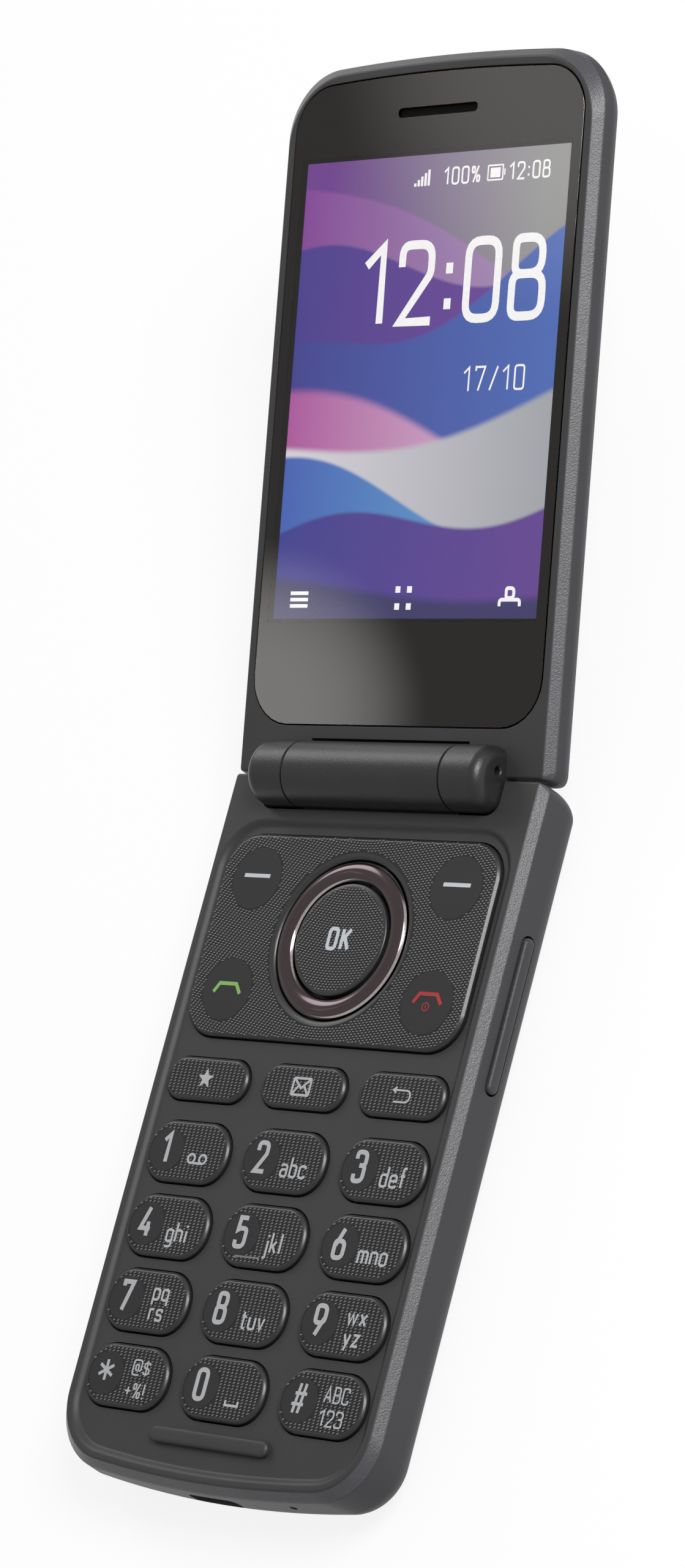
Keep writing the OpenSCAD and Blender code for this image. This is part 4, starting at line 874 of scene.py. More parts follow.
def pillow(name, w, h, r, x, y, profile, finishes, bands=None):
    """A rounded block about a middle, whose outline steps inwards as it rises."""
    rings = [on_base(shifted(rounded(w, h, r, inset), x, y), z) for inset, z in profile]
    return loft(name, rings, finishes, bands)


key_mids = {}
for node, (low, high) in key_boxes.items():
    w, h, r, mid = cap_size(low, high)
    key_mids[node] = mid
    cap = pillow(node + "_cap", w, h, r, mid.x, mid.y, CAP, CAP_FINISHES, CAP_BANDS)
    settle(cap, node + "_body", "key_plastic", node)
print("caps:", len(key_mids))

# %% [markdown]
# ## Nav plate, ring and OK key
#
# The plate has the same soft edge and a round well with a sloping lip. The ring is turned: its
# profile is a shallow arch between two narrow lips, which get the bright cut.

# %% Nav cluster
NAV_TOP, OK_TOP = 9.8, 9.92
PLATE = [(0.0, 7.75), (0.0, 9.38), (0.03, 9.44), (0.3, 9.71), (0.38, 9.76), (0.55, 9.785), (1.0, 9.797),
         (2.0, NAV_TOP)]
# Radius and height of each step of the well and of the OK disc
WELL = [(10.4, 7), (10.4, 9.5), (10.44, 9.54), (10.6, 9.7), (10.78, 9.76), (11.1, 9.79), (11.3, 9.83),
        (11.35, 10.5)]
OK_DISC = [(7.2, 8.3), (7.2, 9.65), (7.16, 9.76), (7.06, 9.84), (6.9, 9.89), (6.6, 9.91), (5.0, OK_TOP)]
LIP, LIP_SOFT, R_IN, R_OUT, RING_TOP, ARCH_DROP, ARCH_BANDS = 0.24, 0.02, 7.55, 10.13, 10.2, 0.38, 24
RING_FOOT, LIP_LOW, LIP_EDGE, LIP_HIGH = 8.1, 9.55, 9.59, 9.79


def turned(name, profile, finishes, bands=None, ring_shut=False):
    """A form turned about the middle of the nav plate, from its radii and heights."""
    rings = [on_base(shifted(circle(r, 128), 0, NAV_Y), z) for r, z in profile]
    return loft(name, rings, finishes, bands, ring_shut)


plate = pillow("nav_plate_cap", NAV_W, NAV_H, NAV_R, 0, NAV_Y, PLATE, CAP_FINISHES, CAP_BANDS)
carve(plate, turned("well", WELL, []))
settle(plate, "nav_plate_body", "key_plastic", "nav_plate")
arch = []
for i in range(ARCH_BANDS + 1):
    t = -1 + 2 * i / ARCH_BANDS
    arch.append(((R_IN + R_OUT) / 2 + t * ((R_OUT - R_IN) / 2 - LIP), RING_TOP - ARCH_DROP * t * t))
profile = [(R_IN, RING_FOOT), (R_IN, LIP_LOW), (R_IN + LIP_SOFT, LIP_EDGE),
           (R_IN + LIP - LIP_SOFT, LIP_HIGH)] + arch
profile += [(R_OUT - LIP + LIP_SOFT, LIP_HIGH), (R_OUT - LIP_SOFT, LIP_EDGE), (R_OUT, LIP_LOW),
            (R_OUT, RING_FOOT)]
bands = [0, 1, 1, 1] + [0] * ARCH_BANDS + [1, 1, 1, 0, 0]
ring = turned("nav_ring_band", profile, [bronze, bright_cut], bands, ring_shut=True)
settle(ring, "nav_ring_body", "ring_metal", "nav_ring")
ok_disc = turned("ok_disc", OK_DISC, CAP_FINISHES, [0] * 5 + [1] * 2)
settle(ok_disc, "ok_body", "key_plastic", "ok_button")
print("ring bands:", len(bands))

# %% [markdown]
# ## Raised dashes
#
# Keys, plate and OK disc carry a fine twill of raised dashes, with smooth round fields round the
# signs. It repeats thousands of times, so it is a Geometry Nodes tree: a grid of points, those
# outside the outline or inside a smooth field deleted, and a small flattened bead set on each that
# is left. The pitch is 0.68 by 0.38 mm on the keys and 0.55 by 0.33 mm on the plate.

# %% Dash tree: grid and outline
DASH_INPUTS = {"Width": "Float", "Height": "Float", "Corner": "Float", "Columns": "Int", "Rows": "Int",
               "Pitch X": "Float", "Pitch Y": "Float", "Bead": "Vector", "Angle": "Float",
               "Field": "Vector", "Field Radius": "Float", "Four Fields": "Float", "Hole Radius": "Float",
               "Bow": "Float", "Lean": "Float", "Middle": "Vector", "Finish": "Material"}
SOFT_BOW = 4 * MM
dashes, given = new_tree("raised_dashes", DASH_INPUTS)
spread, straight = [], []
for pitch, count, size in (("Pitch X", "Columns", "Width"), ("Pitch Y", "Rows", "Height")):
    gaps = add(dashes, MATH, {0: given[count], 1: 1}, operation="SUBTRACT")
    spread.append(add(dashes, MATH, {0: given[pitch], 1: gaps}, operation="MULTIPLY"))
    half = add(dashes, MATH, {0: given[size], 1: 0.5}, operation="MULTIPLY")
    straight.append(add(dashes, MATH, {0: half, 1: given["Corner"]}, operation="SUBTRACT"))
grid = add(dashes, "GeometryNodeMeshGrid", {"Size X": spread[0], "Size Y": spread[1],
                                            "Vertices X": given["Columns"], "Vertices Y": given["Rows"]})
spot = add(dashes, "GeometryNodeInputPosition")
at = add(dashes, "ShaderNodeSeparateXYZ", {0: spot}).outputs
# Columns lean: a point slides sideways by its height. Rows bow: it rises with its distance from the middle
slide = add(dashes, MATH, {0: at["Y"], 1: given["Lean"]}, operation="MULTIPLY")
slid_x = add(dashes, MATH, {0: at["Y"], 1: given["Lean"], 2: at["X"]}, operation="MULTIPLY_ADD")
square = add(dashes, MATH, {0: slid_x, 1: slid_x, 2: SOFT_BOW ** 2}, operation="MULTIPLY_ADD")
bend = add(dashes, MATH, {0: square}, operation="SQRT")
lift = add(dashes, MATH, {0: given["Bow"], 1: bend}, operation="MULTIPLY")
quarter = add(dashes, MATH, {0: given["Width"], 1: 0.25}, operation="MULTIPLY")
evened = add(dashes, MATH, {0: given["Bow"], 1: quarter}, operation="MULTIPLY")
rise = add(dashes, MATH, {0: lift, 1: evened}, operation="SUBTRACT")
moved_by = add(dashes, "ShaderNodeCombineXYZ", {"X": slide, "Y": rise})
bowed = add(dashes, "GeometryNodeSetPosition", {"Geometry": grid, "Offset": moved_by})
print("dash nodes so far:", len(dashes.nodes))

# %% Dash tree: what is left out, and the beads
mirrored = add(dashes, VECTORS, {0: spot}, operation="ABSOLUTE")
inner_corner = add(dashes, "ShaderNodeCombineXYZ", {"X": straight[0], "Y": straight[1]})
over = add(dashes, VECTORS, {0: mirrored, 1: inner_corner}, operation="SUBTRACT")
past = add(dashes, VECTORS, {0: over, 1: (0, 0, 0)}, operation="MAXIMUM")
past_by = add(dashes, VECTORS, {0: past}, operation="LENGTH").outputs["Value"]
outside = add(dashes, MATH, {0: past_by, 1: given["Corner"]}, operation="GREATER_THAN")
folded = add(dashes, MIX, {"Factor": given["Four Fields"], 4: spot, 5: mirrored},
             data_type="VECTOR").outputs[1]
to_field = add(dashes, VECTORS, {0: folded, 1: given["Field"]}, operation="DISTANCE").outputs["Value"]
in_field = add(dashes, MATH, {0: to_field, 1: given["Field Radius"]}, operation="LESS_THAN")
to_middle = add(dashes, VECTORS, {0: spot}, operation="LENGTH").outputs["Value"]
in_hole = add(dashes, MATH, {0: to_middle, 1: given["Hole Radius"]}, operation="LESS_THAN")
either = add(dashes, MATH, {0: outside, 1: in_field}, operation="ADD")
any_of_them = add(dashes, MATH, {0: either, 1: in_hole}, operation="ADD")
gone = add(dashes, MATH, {0: any_of_them, 1: 0.5}, operation="GREATER_THAN")
left = add(dashes, "GeometryNodeDeleteGeometry", {"Geometry": bowed, "Selection": gone}, domain="POINT")
bead = add(dashes, "GeometryNodeMeshIcoSphere", {"Radius": 1.0, "Subdivisions": 1})
turned_by = add(dashes, "ShaderNodeCombineXYZ", {"Z": given["Angle"]})
beads = add(dashes, "GeometryNodeInstanceOnPoints", {"Points": left, "Instance": bead,
                                                     "Rotation": turned_by, "Scale": given["Bead"]})
solid = add(dashes, "GeometryNodeRealizeInstances", {0: beads})
moved = add(dashes, "GeometryNodeTransform", {"Geometry": solid, "Translation": given["Middle"]})
smooth = add(dashes, "GeometryNodeSetShadeSmooth", {"Geometry": moved})
painted = add(dashes, "GeometryNodeSetMaterial", {"Geometry": smooth, "Material": given["Finish"]})
add(dashes, "NodeGroupOutput", {0: painted})
print("dash nodes:", len(dashes.nodes))

# %% Dashes on keys, plate and OK disc
# Each kind: pitch across, pitch along, bead, its angle, how much the rows bow and how the columns lean
TWILL = (0.683, 0.38, (0.26, 0.1, 0.05), 33, 0.0, 0.0)
DOTS = (0.552, 0.33, (0.22, 0.1, 0.05), 17, 0.19, 0.65)
# Each dashed area: width, height and corner
SIGN_AREA, DIGIT_AREA = (12.7, 4.6, 2.25), (12.7, 6.9, 3.25)
PLATE_AREA, OK_AREA = (44.2, 25.7, 4.45), (13.4, 13.4, 6.68)
# Each smooth field: its middle, its radius and the radius that the dashes keep clear
DIGIT_FIELD, DIGIT_FIELD_R, DIGIT_CLEAR = (-3.3, 0), 2.72, 2.85
NAV_FIELD, NAV_FIELD_R, NAV_CLEAR, WELL_CLEAR = (16.4, 7.25), 3.97, 4.1, 11.4
# Rim of a smooth field: inset and rise of each step
FIELD_RIM = [(0.0, -0.03), (0.0, 0.01), (0.05, 0.03)]


def dashed(name, kind, area, at, field=(0, 0), field_r=0.0, four=0.0, hole=0.0):
    """Runs the dash tree on one area. With four, the field is there in all four corners."""
    pitch_x, pitch_y, bead, angle, bow, lean = kind
    w, h, corner = area
    columns, rows = int((w + lean * h) / pitch_x) + 2, int(h / pitch_y) + 2 + int(bow * w / pitch_y)
    return run_tree(empty_mesh(name), dashes, {
        "Width": w * MM, "Height": h * MM, "Corner": corner * MM, "Columns": columns, "Rows": rows,
        "Pitch X": pitch_x * MM, "Pitch Y": pitch_y * MM, "Bead": Vector(bead) * MM,
        "Angle": math.radians(angle), "Field": (field[0] * MM, field[1] * MM, 0),
        "Field Radius": field_r * MM, "Four Fields": four, "Hole Radius": hole * MM,
        "Bow": bow, "Lean": lean, "Middle": Vector(at) * MM, "Finish": dash_painted_highlight})


def smooth_field(name, x, y, r, z):
    rings = [on_base(shifted(circle(r - inset, 48), x, y), z + up) for inset, up in FIELD_RIM]
    return loft(name, rings, [field_plastic])


total = 0
for node, mid in key_mids.items():
    at = (mid.x, mid.y, KEY_TOP)
    if node in ("key_favourites", "key_messages", "key_back"):
        piece = dashed(node + "_dashes", TWILL, SIGN_AREA, at)
    else:
        piece = dashed(node + "_dashes", TWILL, DIGIT_AREA, at, DIGIT_FIELD, DIGIT_CLEAR)
        field = smooth_field(node + "_field", mid.x + DIGIT_FIELD[0], mid.y, DIGIT_FIELD_R, KEY_TOP)
        settle(field, node + "_body", "key_plastic")
    settle(piece, node + "_body", "key_plastic")
    total += len(piece.data.polygons)
for k, (x, y) in enumerate([(-1, 1), (1, 1), (-1, -1), (1, -1)]):
    field = smooth_field("nav_field_%d" % (k + 1), x * NAV_FIELD[0], NAV_Y + y * NAV_FIELD[1],
                         NAV_FIELD_R, NAV_TOP)
    settle(field, "nav_plate_body", "key_plastic")
plate_dashes = dashed("nav_plate_dashes", DOTS, PLATE_AREA, (0, NAV_Y, NAV_TOP), NAV_FIELD, NAV_CLEAR,
                      1.0, WELL_CLEAR)
settle(plate_dashes, "nav_plate_body", "key_plastic")
ok_dashes = dashed("ok_dashes", DOTS, OK_AREA, (0, NAV_Y, OK_TOP))
settle(ok_dashes, "ok_body", "key_plastic")
print("dash faces:", total + len(plate_dashes.data.polygons) + len(ok_dashes.data.polygons))

# %% [markdown]
# ## Legends
#
# Digits, letters and signs are printed with one even stroke, as plain lettering for instruments is.
# Each sign is a few polylines in a box one unit high. A Geometry Nodes tree sweeps a flat bar along
# them, which gives the even stroke and its square ends.

# %% Stroke tree
strokes, given = new_tree("printed_strokes", {"Stroke": "Float", "Film": "Float", "Finish": "Material"})
upright = add(strokes, "GeometryNodeSetCurveNormal", {"Curve": given["Geometry"]}, mode="Z_UP")
bar = add(strokes, "GeometryNodeCurvePrimitiveQuadrilateral", {"Width": given["Stroke"],
                                                               "Height": given["Film"]})
corner_width = add(strokes, "GeometryNodeInputRadius")
swept = add(strokes, "GeometryNodeCurveToMesh", {"Curve": upright, "Profile Curve": bar,
                                                 "Scale": corner_width, "Fill Caps": True})
solid = add(strokes, "GeometryNodeRealizeInstances", {0: swept})
flat_shade = add(strokes, "GeometryNodeSetShadeSmooth", {"Geometry": solid, "Shade Smooth": False})
painted = add(strokes, "GeometryNodeSetMaterial", {"Geometry": flat_shade, "Material": given["Finish"]})
add(strokes, "NodeGroupOutput", {0: painted})
print("stroke nodes:", len(strokes.nodes))

# %% Signs
# Each sign: its width and its lines. A third number at a point is the radius of that corner
BOWL = [(0.0, 0.3), (0.0, 0.6), (0.4, 0.6), (0.4, 0.0), (0.0, 0.0), (0.0, 0.3)]
SIGNS = {
    "0": (0.5, [[(0, .5), (0, 1), (.5, 1), (.5, 0), (0, 0), (0, .5)]]),
    "1": (0.36, [[(.0, .76), (.28, 1, 0), (.28, 0)]]),
    "2": (0.5, [[(0, .72), (0, 1), (.5, 1), (.5, .62), (.01, .0, 0), (.54, 0)]]),
    "3": (0.5, [[(0, .76), (0, 1), (.5, 1), (.5, .54), (.2, .54)],
                [(.2, .54), (.5, .54), (.5, 0), (0, 0), (0, .24)]]),
    "4": (0.54, [[(.34, 1), (.0, .26, 0), (.54, .26)], [(.4, .5), (.4, 0)]]),
    "5": (0.5, [[(.46, 1), (.06, 1, 0), (.03, .56, 0), (.16, .63, .1), (.5, .63), (.5, 0), (0, 0),
                 (0, .22)]]),
    "6": (0.5, [[(0, .3), (0, .58), (.5, .58), (.5, 0), (0, 0), (0, .3)], [(.36, 1), (.04, .42)]]),
    "7": (0.5, [[(0, .84), (0, 1, 0), (.5, 1, 0), (.16, 0)]]),
    "8": (0.5, [[(.03, .78), (.03, 1), (.47, 1), (.47, .54), (.03, .54), (.03, .78)],
                [(0, .27), (0, .54), (.5, .54), (.5, 0), (0, 0), (0, .27)]]),
    "9": (0.5, [[(0, .7), (0, 1), (.5, 1), (.5, .42), (0, .42), (0, .7)], [(.14, 0), (.46, .58)]]),
    "*": (0.56, [[(.28, .18), (.28, .9)], [(-.1, .36), (.66, .72)], [(-.1, .72), (.66, .36)]]),
    "#": (0.62, [[(.09, .0), (.25, 1)], [(.37, .0), (.53, 1)], [(-.04, .3), (.58, .3)],
                 [(.04, .66), (.66, .66)]]),
    "a": (0.4, [[(.03, .5), (.03, .6), (.4, .6), (.4, 0, 0)],
                [(.4, .35, 0), (0, .35), (0, 0), (.4, 0, 0)]]),
    "b": (0.4, [BOWL, [(0, 1), (0, 0)]]),
    "o": (0.4, [BOWL]),
    "c": (0.36, [[(.38, .46), (.38, .6), (0, .6), (0, 0), (.38, 0), (.38, .14)]]),
    "d": (0.4, [BOWL, [(.4, 1), (.4, 0)]]),
    "e": (0.4, [[(0, .31, 0), (.4, .31, 0), (.4, .6), (0, .6), (0, 0), (.4, 0), (.4, .11)]]),
    "f": (0.3, [[(.32, 1), (.12, 1), (.12, 0)], [(0, .6), (.28, .6)]]),
    "g": (0.4, [BOWL, [(.4, .6), (.4, -.28), (.02, -.28)]]),
    "h": (0.4, [[(0, 1), (0, 0)], [(0, .6, 0), (.4, .6), (.4, 0)]]),
    "i": (0.1, [[(.05, .6), (.05, 0)], [(.05, .78), (.05, .9)]]),
    "j": (0.18, [[(.16, .6), (.16, -.28), (0, -.28)], [(.16, .78), (.16, .9)]]),
    "k": (0.36, [[(0, 1), (0, 0)], [(.34, .6), (0, .22)], [(.12, .36), (.36, 0)]]),
    "l": (0.08, [[(.04, 1), (.04, 0)]]),
    "m": (0.6, [[(0, .6, 0), (0, 0)], [(0, .6, 0), (.3, .6), (.3, 0)], [(.3, .6, 0), (.6, .6), (.6, 0)]]),
    "n": (0.4, [[(0, .6, 0), (0, 0)], [(0, .6, 0), (.4, .6), (.4, 0)]]),
    "p": (0.4, [BOWL, [(0, .6), (0, -.3)]]),
    "q": (0.4, [BOWL, [(.4, .6), (.4, -.3)]]),
    "r": (0.26, [[(0, .6), (0, 0)], [(0, .3), (0, .6), (.26, .6)]]),
    "s": (0.36, [[(.37, .47), (.37, .6, .13), (0, .6, .13), (0, .31, .13), (.37, .31, .13), (.37, 0, .13),
                  (0, 0, .13), (0, .13)]]),
    "t": (0.28, [[(.11, .84), (.11, 0), (.3, 0)], [(0, .6), (.28, .6)]]),
    "u": (0.4, [[(0, .6), (0, 0), (.4, 0), (.4, .6)], [(.4, .2), (.4, 0)]]),
    "v": (0.38, [[(0, .6), (.19, 0, 0), (.38, .6)]]),
    "w": (0.6, [[(0, .6), (.15, 0, 0), (.3, .58, 0), (.45, 0, 0), (.6, .6)]]),
    "x": (0.38, [[(0, 0), (.38, .6)], [(0, .6), (.38, 0)]]),
    "y": (0.38, [[(0, .6), (.2, .02)], [(.38, .6), (.1, -.28)]]),
    "z": (0.36, [[(0, .6), (.36, .6, 0), (0, 0, 0), (.37, 0)]]),
    "A": (0.5, [[(0, 0), (.25, 1, 0), (.5, 0)], [(.08, .3), (.42, .3)]]),
    "B": (0.44, [[(0, .5), (.28, .5), (.42, .5, .2), (.42, 1), (0, 1, 0), (0, 0, 0), (.46, 0), (.46, .5),
                  (.24, .5)]]),
    "C": (0.46, [[(.46, .74), (.46, 1), (0, 1), (0, 0), (.46, 0), (.46, .26)]]),
    "O": (0.5, [[(0, .5), (0, 1), (.5, 1), (.5, 0), (0, 0), (0, .5)]]),
    "K": (0.48, [[(0, 1), (0, 0)], [(.46, 1), (0, .4)], [(.16, .6), (.48, 0)]]),
    "@": (0.7, [[(.46, .3), (.46, .7), (.22, .7), (.22, .3), (.5, .3), (.68, .3), (.68, 1), (0, 1), (0, 0),
                 (.6, 0)]]),
    "$": (0.44, [[(.44, .72), (.44, .86), (0, .86), (0, .5), (.44, .5), (.44, .12), (0, .12), (0, .28)],
                 [(.22, 1), (.22, 0)]]),
    "+": (0.44, [[(.22, .2), (.22, .7)], [(0, .45), (.44, .45)]]),
    ":": (0.12, [[(.06, .14), (.06, .28)], [(.06, .6), (.06, .74)]]),
    "%": (0.6, [[(.5, 1), (.1, 0)], [(0, .78), (0, .96), (.2, .96), (.2, .6), (0, .6), (0, .78)],
                [(.4, .22), (.4, .4), (.6, .4), (.6, .04), (.4, .04), (.4, .22)]]),
    "!": (0.1, [[(.05, 1), (.05, .28)], [(.05, .0), (.05, .12)]]),
    "/": (0.4, [[(0, 0), (.4, 1)]]),
}
print("signs:", len(SIGNS))

# %% Words and printing
# Thickness of the ink, its height over a key's floor, the step from line to line and the widest mitre
INK_FILM, INK_LIFT, LINE_STEP, WIDEST_MITRE = 0.03, 0.05, 0.003, 2.0


def word(text, tall, x, y, gap=0.26, narrow=1.0):
    """Strokes of a word that is tall mm high and centred on x, with its foot at y."""
    widths = [SIGNS[c][0] for c in text]
    em = tall * narrow
    at = x - em * (sum(widths) + gap * (len(text) - 1)) / 2
    lines = []
    for c, w in zip(text, widths):
        for line in SIGNS[c][1]:
            lines.append([(at + p[0] * em, y + p[1] * tall, *[r * em for r in p[2:]]) for p in line])
        at += em * (w + gap)
    return lines


def printed(name, lines, stroke, round_r, place, finish, film=INK_FILM):
    """Sweeps a stroke along the lines. place turns flat mm into a point of the frame."""
    data = bpy.data.curves.new(name, "CURVE")
    data.dimensions = "3D"
    for k, line in enumerate(lines):
        points = soften(line, round_r)
        looped = points[0] == points[-1]
        points = points[:-1] if looped else points
        run = data.splines.new("POLY")
        run.use_cyclic_u = looped
        run.points.add(len(points) - 1)
        for i, (point, (x, y)) in enumerate(zip(run.points, points)):
            point.co = (x * MM, y * MM, LINE_STEP * k * MM, 1)
            before, after = points[i - 1], points[(i + 1) % len(points)]
            if looped or 0 < i < len(points) - 1:
                turn = Vector((x - before[0], y - before[1])).angle(Vector((after[0] - x, after[1] - y)), 0)
                point.radius = min(1 / math.cos(turn / 2), WIDEST_MITRE)
    flat = bpy.data.objects.new(name, data)
    scene.collection.objects.link(flat)
    piece = run_tree(flat, strokes, {"Stroke": stroke * MM, "Film": film * MM, "Finish": finish})
    piece.data.transform(place)
    return piece


def lie(x, y, z):
    return Matrix.Translation(Vector((x, y, z)) * MM)


print("strokes in a word:", len(word("abc", 1, 0, 0)))

# %% Legends on the keys
LETTERS = {"key_2": ["abc"], "key_3": ["def"], "key_4": ["ghi"], "key_5": ["jkl"], "key_6": ["mno"],
           "key_7": ["pq", "rs"], "key_8": ["tuv"], "key_9": ["wx", "yz"],
           "key_asterisk": ["@$", "+%!"], "key_hash": ["ABC", "123"]}
BIG = {"key_asterisk": "*", "key_hash": "#"}
LEGEND_Z = KEY_TOP + INK_LIFT
# Each row of a legend: height, middle, foot, gap between its signs, and their width
DIGIT_ROW, ONE_ROW = (3.58, -3.38, -1.53, 0.26, 0.82), (2.4, 2.18, -1.86, 0.24, 0.98)
TWO_ROWS = [(2.2, 2.3, 0.25, 0.24, 1.05), (2.2, 2.2, -2.3, 0.24, 1.05)]
BIG_ROWS = [(1.85, 2.3, 0.25, 0.24, 1.05), (1.85, 2.2, -2.6, 0.24, 1.05)]
DIGIT_STROKE, BIG_STROKE, DIGIT_SOFT = 0.58, 0.4, 0.72
LETTER_STROKE, BIG_LETTER_STROKE, LETTER_SOFT = 0.3, 0.22, 0.38
# Two reels of a tape stand for the voice mail, and a low bracket for the space
REELS = [[(reel + x, y - 0.8, 0) for x, y in arc(0, 0, 0.56, 90, 450, 24)] for reel in (1.2, 3.1)]
DRAWN = {"key_1": REELS + [[(1.2, -1.36), (3.1, -1.36)]],
         "key_0": [[(1.2, -1.2), (1.2, -1.8, 0), (3.2, -1.8, 0), (3.2, -1.2)]]}


def print_key(node, name, lines, stroke, round_r):
    """Prints grey strokes on a key's top."""
    here = lie(key_mids[node].x, key_mids[node].y, LEGEND_Z)
    piece = printed(node + name, lines, stroke, round_r, here, grey_ink)
    return settle(piece, node + "_body", "key_plastic")


for node in key_mids:
    if node in BIG or node[4:].isdigit():
        sign = word(BIG.get(node, node[-1]), *DIGIT_ROW)
        print_key(node, "_digit", sign, BIG_STROKE if node in BIG else DIGIT_STROKE, DIGIT_SOFT)
    texts = LETTERS.get(node, [])
    rows = [ONE_ROW] if len(texts) == 1 else BIG_ROWS if node in BIG else TWO_ROWS
    lines = list(DRAWN.get(node, []))
    for text, row in zip(texts, rows):
        lines += word(text, *row)
    if lines:
        print_key(node, "_letters", lines, BIG_LETTER_STROKE if node in BIG else LETTER_STROKE, LETTER_SOFT)

# %% Tactile bar and signs of the three upper keys
STAR_R, STAR_WAIST = 1.35, 0.42
mid = key_mids["key_5"]
bracket = [[(-3.4, -3.0), (-3.4, -2.7, 0), (0.4, -2.7, 0), (0.4, -3.0)]]
# The tactile bar takes the dashes' finish, painted paler as a highlight
tactile = printed("key_5_tactile_bar", bracket, 0.22, 0, lie(mid.x, mid.y, KEY_TOP), dash_painted_highlight, 0.12)
settle(tactile, "key_5_body", "key_plastic")
mid = key_mids["key_favourites"]
tips = [(STAR_R * (STAR_WAIST if i % 2 else 1), math.radians(90 + 36 * i)) for i in range(10)]
points = shifted([(r * math.cos(t), r * math.sin(t)) for r, t in tips], mid.x, mid.y)
rings = [on_base(points, LEGEND_Z + up) for up in (-INK_FILM / 2, INK_FILM / 2)]
settle(loft("key_favourites_star", rings, [grey_ink]), "key_favourites_body", "key_plastic")
envelope = [[(-1.4, 0), (-1.4, 1.05, 0.2), (1.4, 1.05, 0.2), (1.4, -1.05, 0.2), (-1.4, -1.05, 0.2),
             (-1.4, 0)], [(-1.25, 0.95), (0, -0.2, 0), (1.25, 0.95)],
            [(-1.25, -0.95), (-0.42, 0.15)], [(1.25, -0.95), (0.42, 0.15)]]
print_key("key_messages", "_envelope", envelope, 0.3, 0)
arrow = [[(-0.9, -0.85), (1.5, -0.85, 0.72), (1.5, 0.6, 0.72), (-1.2, 0.6)],
         [(-0.75, 0.95), (-1.25, 0.6, 0), (-0.75, 0.25)]]
print_key("key_back", "_arrow", arrow, 0.23, 0.6)
print("star, envelope, arrow and tactile bar made")

# %% Signs on the plate and the OK disc
SOFT_X, SOFT_Y, SOFT_HALF, CALL_Y, END_Y, POWER_Y = NAV_FIELD[0], 7.6, 2.15, -6.95, -6.6, -7.75
HANDSET = [(-2.15, -0.72), (-1.38, 0.45, 0), (1.38, 0.45, 0), (2.3, -0.77)]
plate_at = lie(0, NAV_Y, NAV_TOP + INK_LIFT)
left_mark, right_mark = [[[(x - SOFT_HALF, SOFT_Y), (x + SOFT_HALF, SOFT_Y)]] for x in (-SOFT_X, SOFT_X)]
call, end_call = [[[(px + x, py + y, *r) for px, py, *r in HANDSET]]
                  for x, y in ((-SOFT_X, CALL_Y), (SOFT_X, END_Y))]
power = [shifted(arc(0, 0, 0.5, 90, 450, 20), SOFT_X, POWER_Y),
         [(SOFT_X, POWER_Y + 0.25), (SOFT_X, POWER_Y - 0.25)]]
# Each sign: its lines, its stroke and its ink
ON_PLATE = {"left_soft_mark": (left_mark, 0.5, white_ink), "right_soft_mark": (right_mark, 0.5, white_ink),
            "call_sign": (call, 0.48, green_ink), "end_sign": (end_call, 0.48, red_ink),
            "power_sign": (power, 0.13, red_ink)}
for name, (lines, stroke, ink) in ON_PLATE.items():
    settle(printed(name, lines, stroke, 0, plate_at, ink), "nav_plate_body", "key_plastic")
ok_at = lie(0, NAV_Y, OK_TOP + INK_LIFT)
ok_word = printed("ok_sign", word("OK", 2.55, 0, -1.28, 0.36), 0.5, 0.5, ok_at, white_ink)
settle(ok_word, "ok_body", "key_plastic")
print("signs on the plate:", len(ON_PLATE))

# %% [markdown]
# ## Signs on the lit screen
#
# The screen shows a plain clock, a date in numbers, signal bars, a cell and three marks along its
# foot. They are the same strokes, lit, a hair above the picture.

# %% Clock and marks
LIT_FILM, SCREEN_SHIFT, SIGN_Z = 0.004, 0.95, -0.868
screen = turn_up @ lie(0, SCREEN_SHIFT, SIGN_Z)
clock = word("12:08", 9.6, 4.2, 55.4, 0.25, 1.01)
numbers = word("17/10", 2.9, 12.0, 46.5, 0.3)
numbers += word("100%", 2.0, 4.4, 72.3, 0.3) + word("12:08", 2.0, 15.3, 72.3, 0.3)
bars = [[(-3.2 + 0.55 * i, 72.3), (-3.2 + 0.55 * i, 72.7 + 0.4 * i)] for i in range(5)]
cell = [[(8.6, 73.3), (8.6, 74.2, 0.1), (11.0, 74.2, 0.1), (11.0, 72.4, 0.1), (8.6, 72.4, 0.1),
         (8.6, 73.3)], [(11.3, 72.9), (11.3, 73.7)]]
charge = [[(9.0, 73.3), (10.6, 73.3)]]
marks = [[(-18.9, 20.2 + 0.8 * i), (-15.9, 20.2 + 0.8 * i)] for i in range(3)]
marks += [[(15.6, 20.1), (15.6, 20.9, 0.5), (18.8, 20.9, 0.5), (18.8, 20.1)],
          [(16.6, 21.7), (16.6, 22.3), (17.8, 22.3), (17.8, 21.1), (16.6, 21.1), (16.6, 21.7)]]
dots = [[(x - 0.4, y), (x + 0.4, y)] for x in (-0.95, 0.95) for y in (20.1, 22.2)]
# Each sign: its lines, its stroke and the radius of its corners
ON_SCREEN = {"screen_clock": (clock, 1.12, 1.9), "screen_numbers": (numbers, 0.26, 0.4),
             "screen_bars": (bars, 0.38, 0), "screen_cell": (cell, 0.2, 0),
             "screen_charge": (charge, 1.2, 0), "screen_marks": (marks, 0.45, 0.5),
             "screen_dots": (dots, 0.8, 0)}
for name, (lines, stroke, round_r) in ON_SCREEN.items():
    settle(printed(name, lines, stroke, round_r, screen, white_light, LIT_FILM), "lid", "lit_display")
print("screen pieces:", len(ON_SCREEN))

# %% [markdown]
# ## Rocker, bumper and outer windows
#
# The rocker in the right flank is a long bead with a crowned face. The bumper below the keys is a
# low bar that stands a little higher than they do. On the back a smoked window and the camera's
# cover lie flush in the lid.

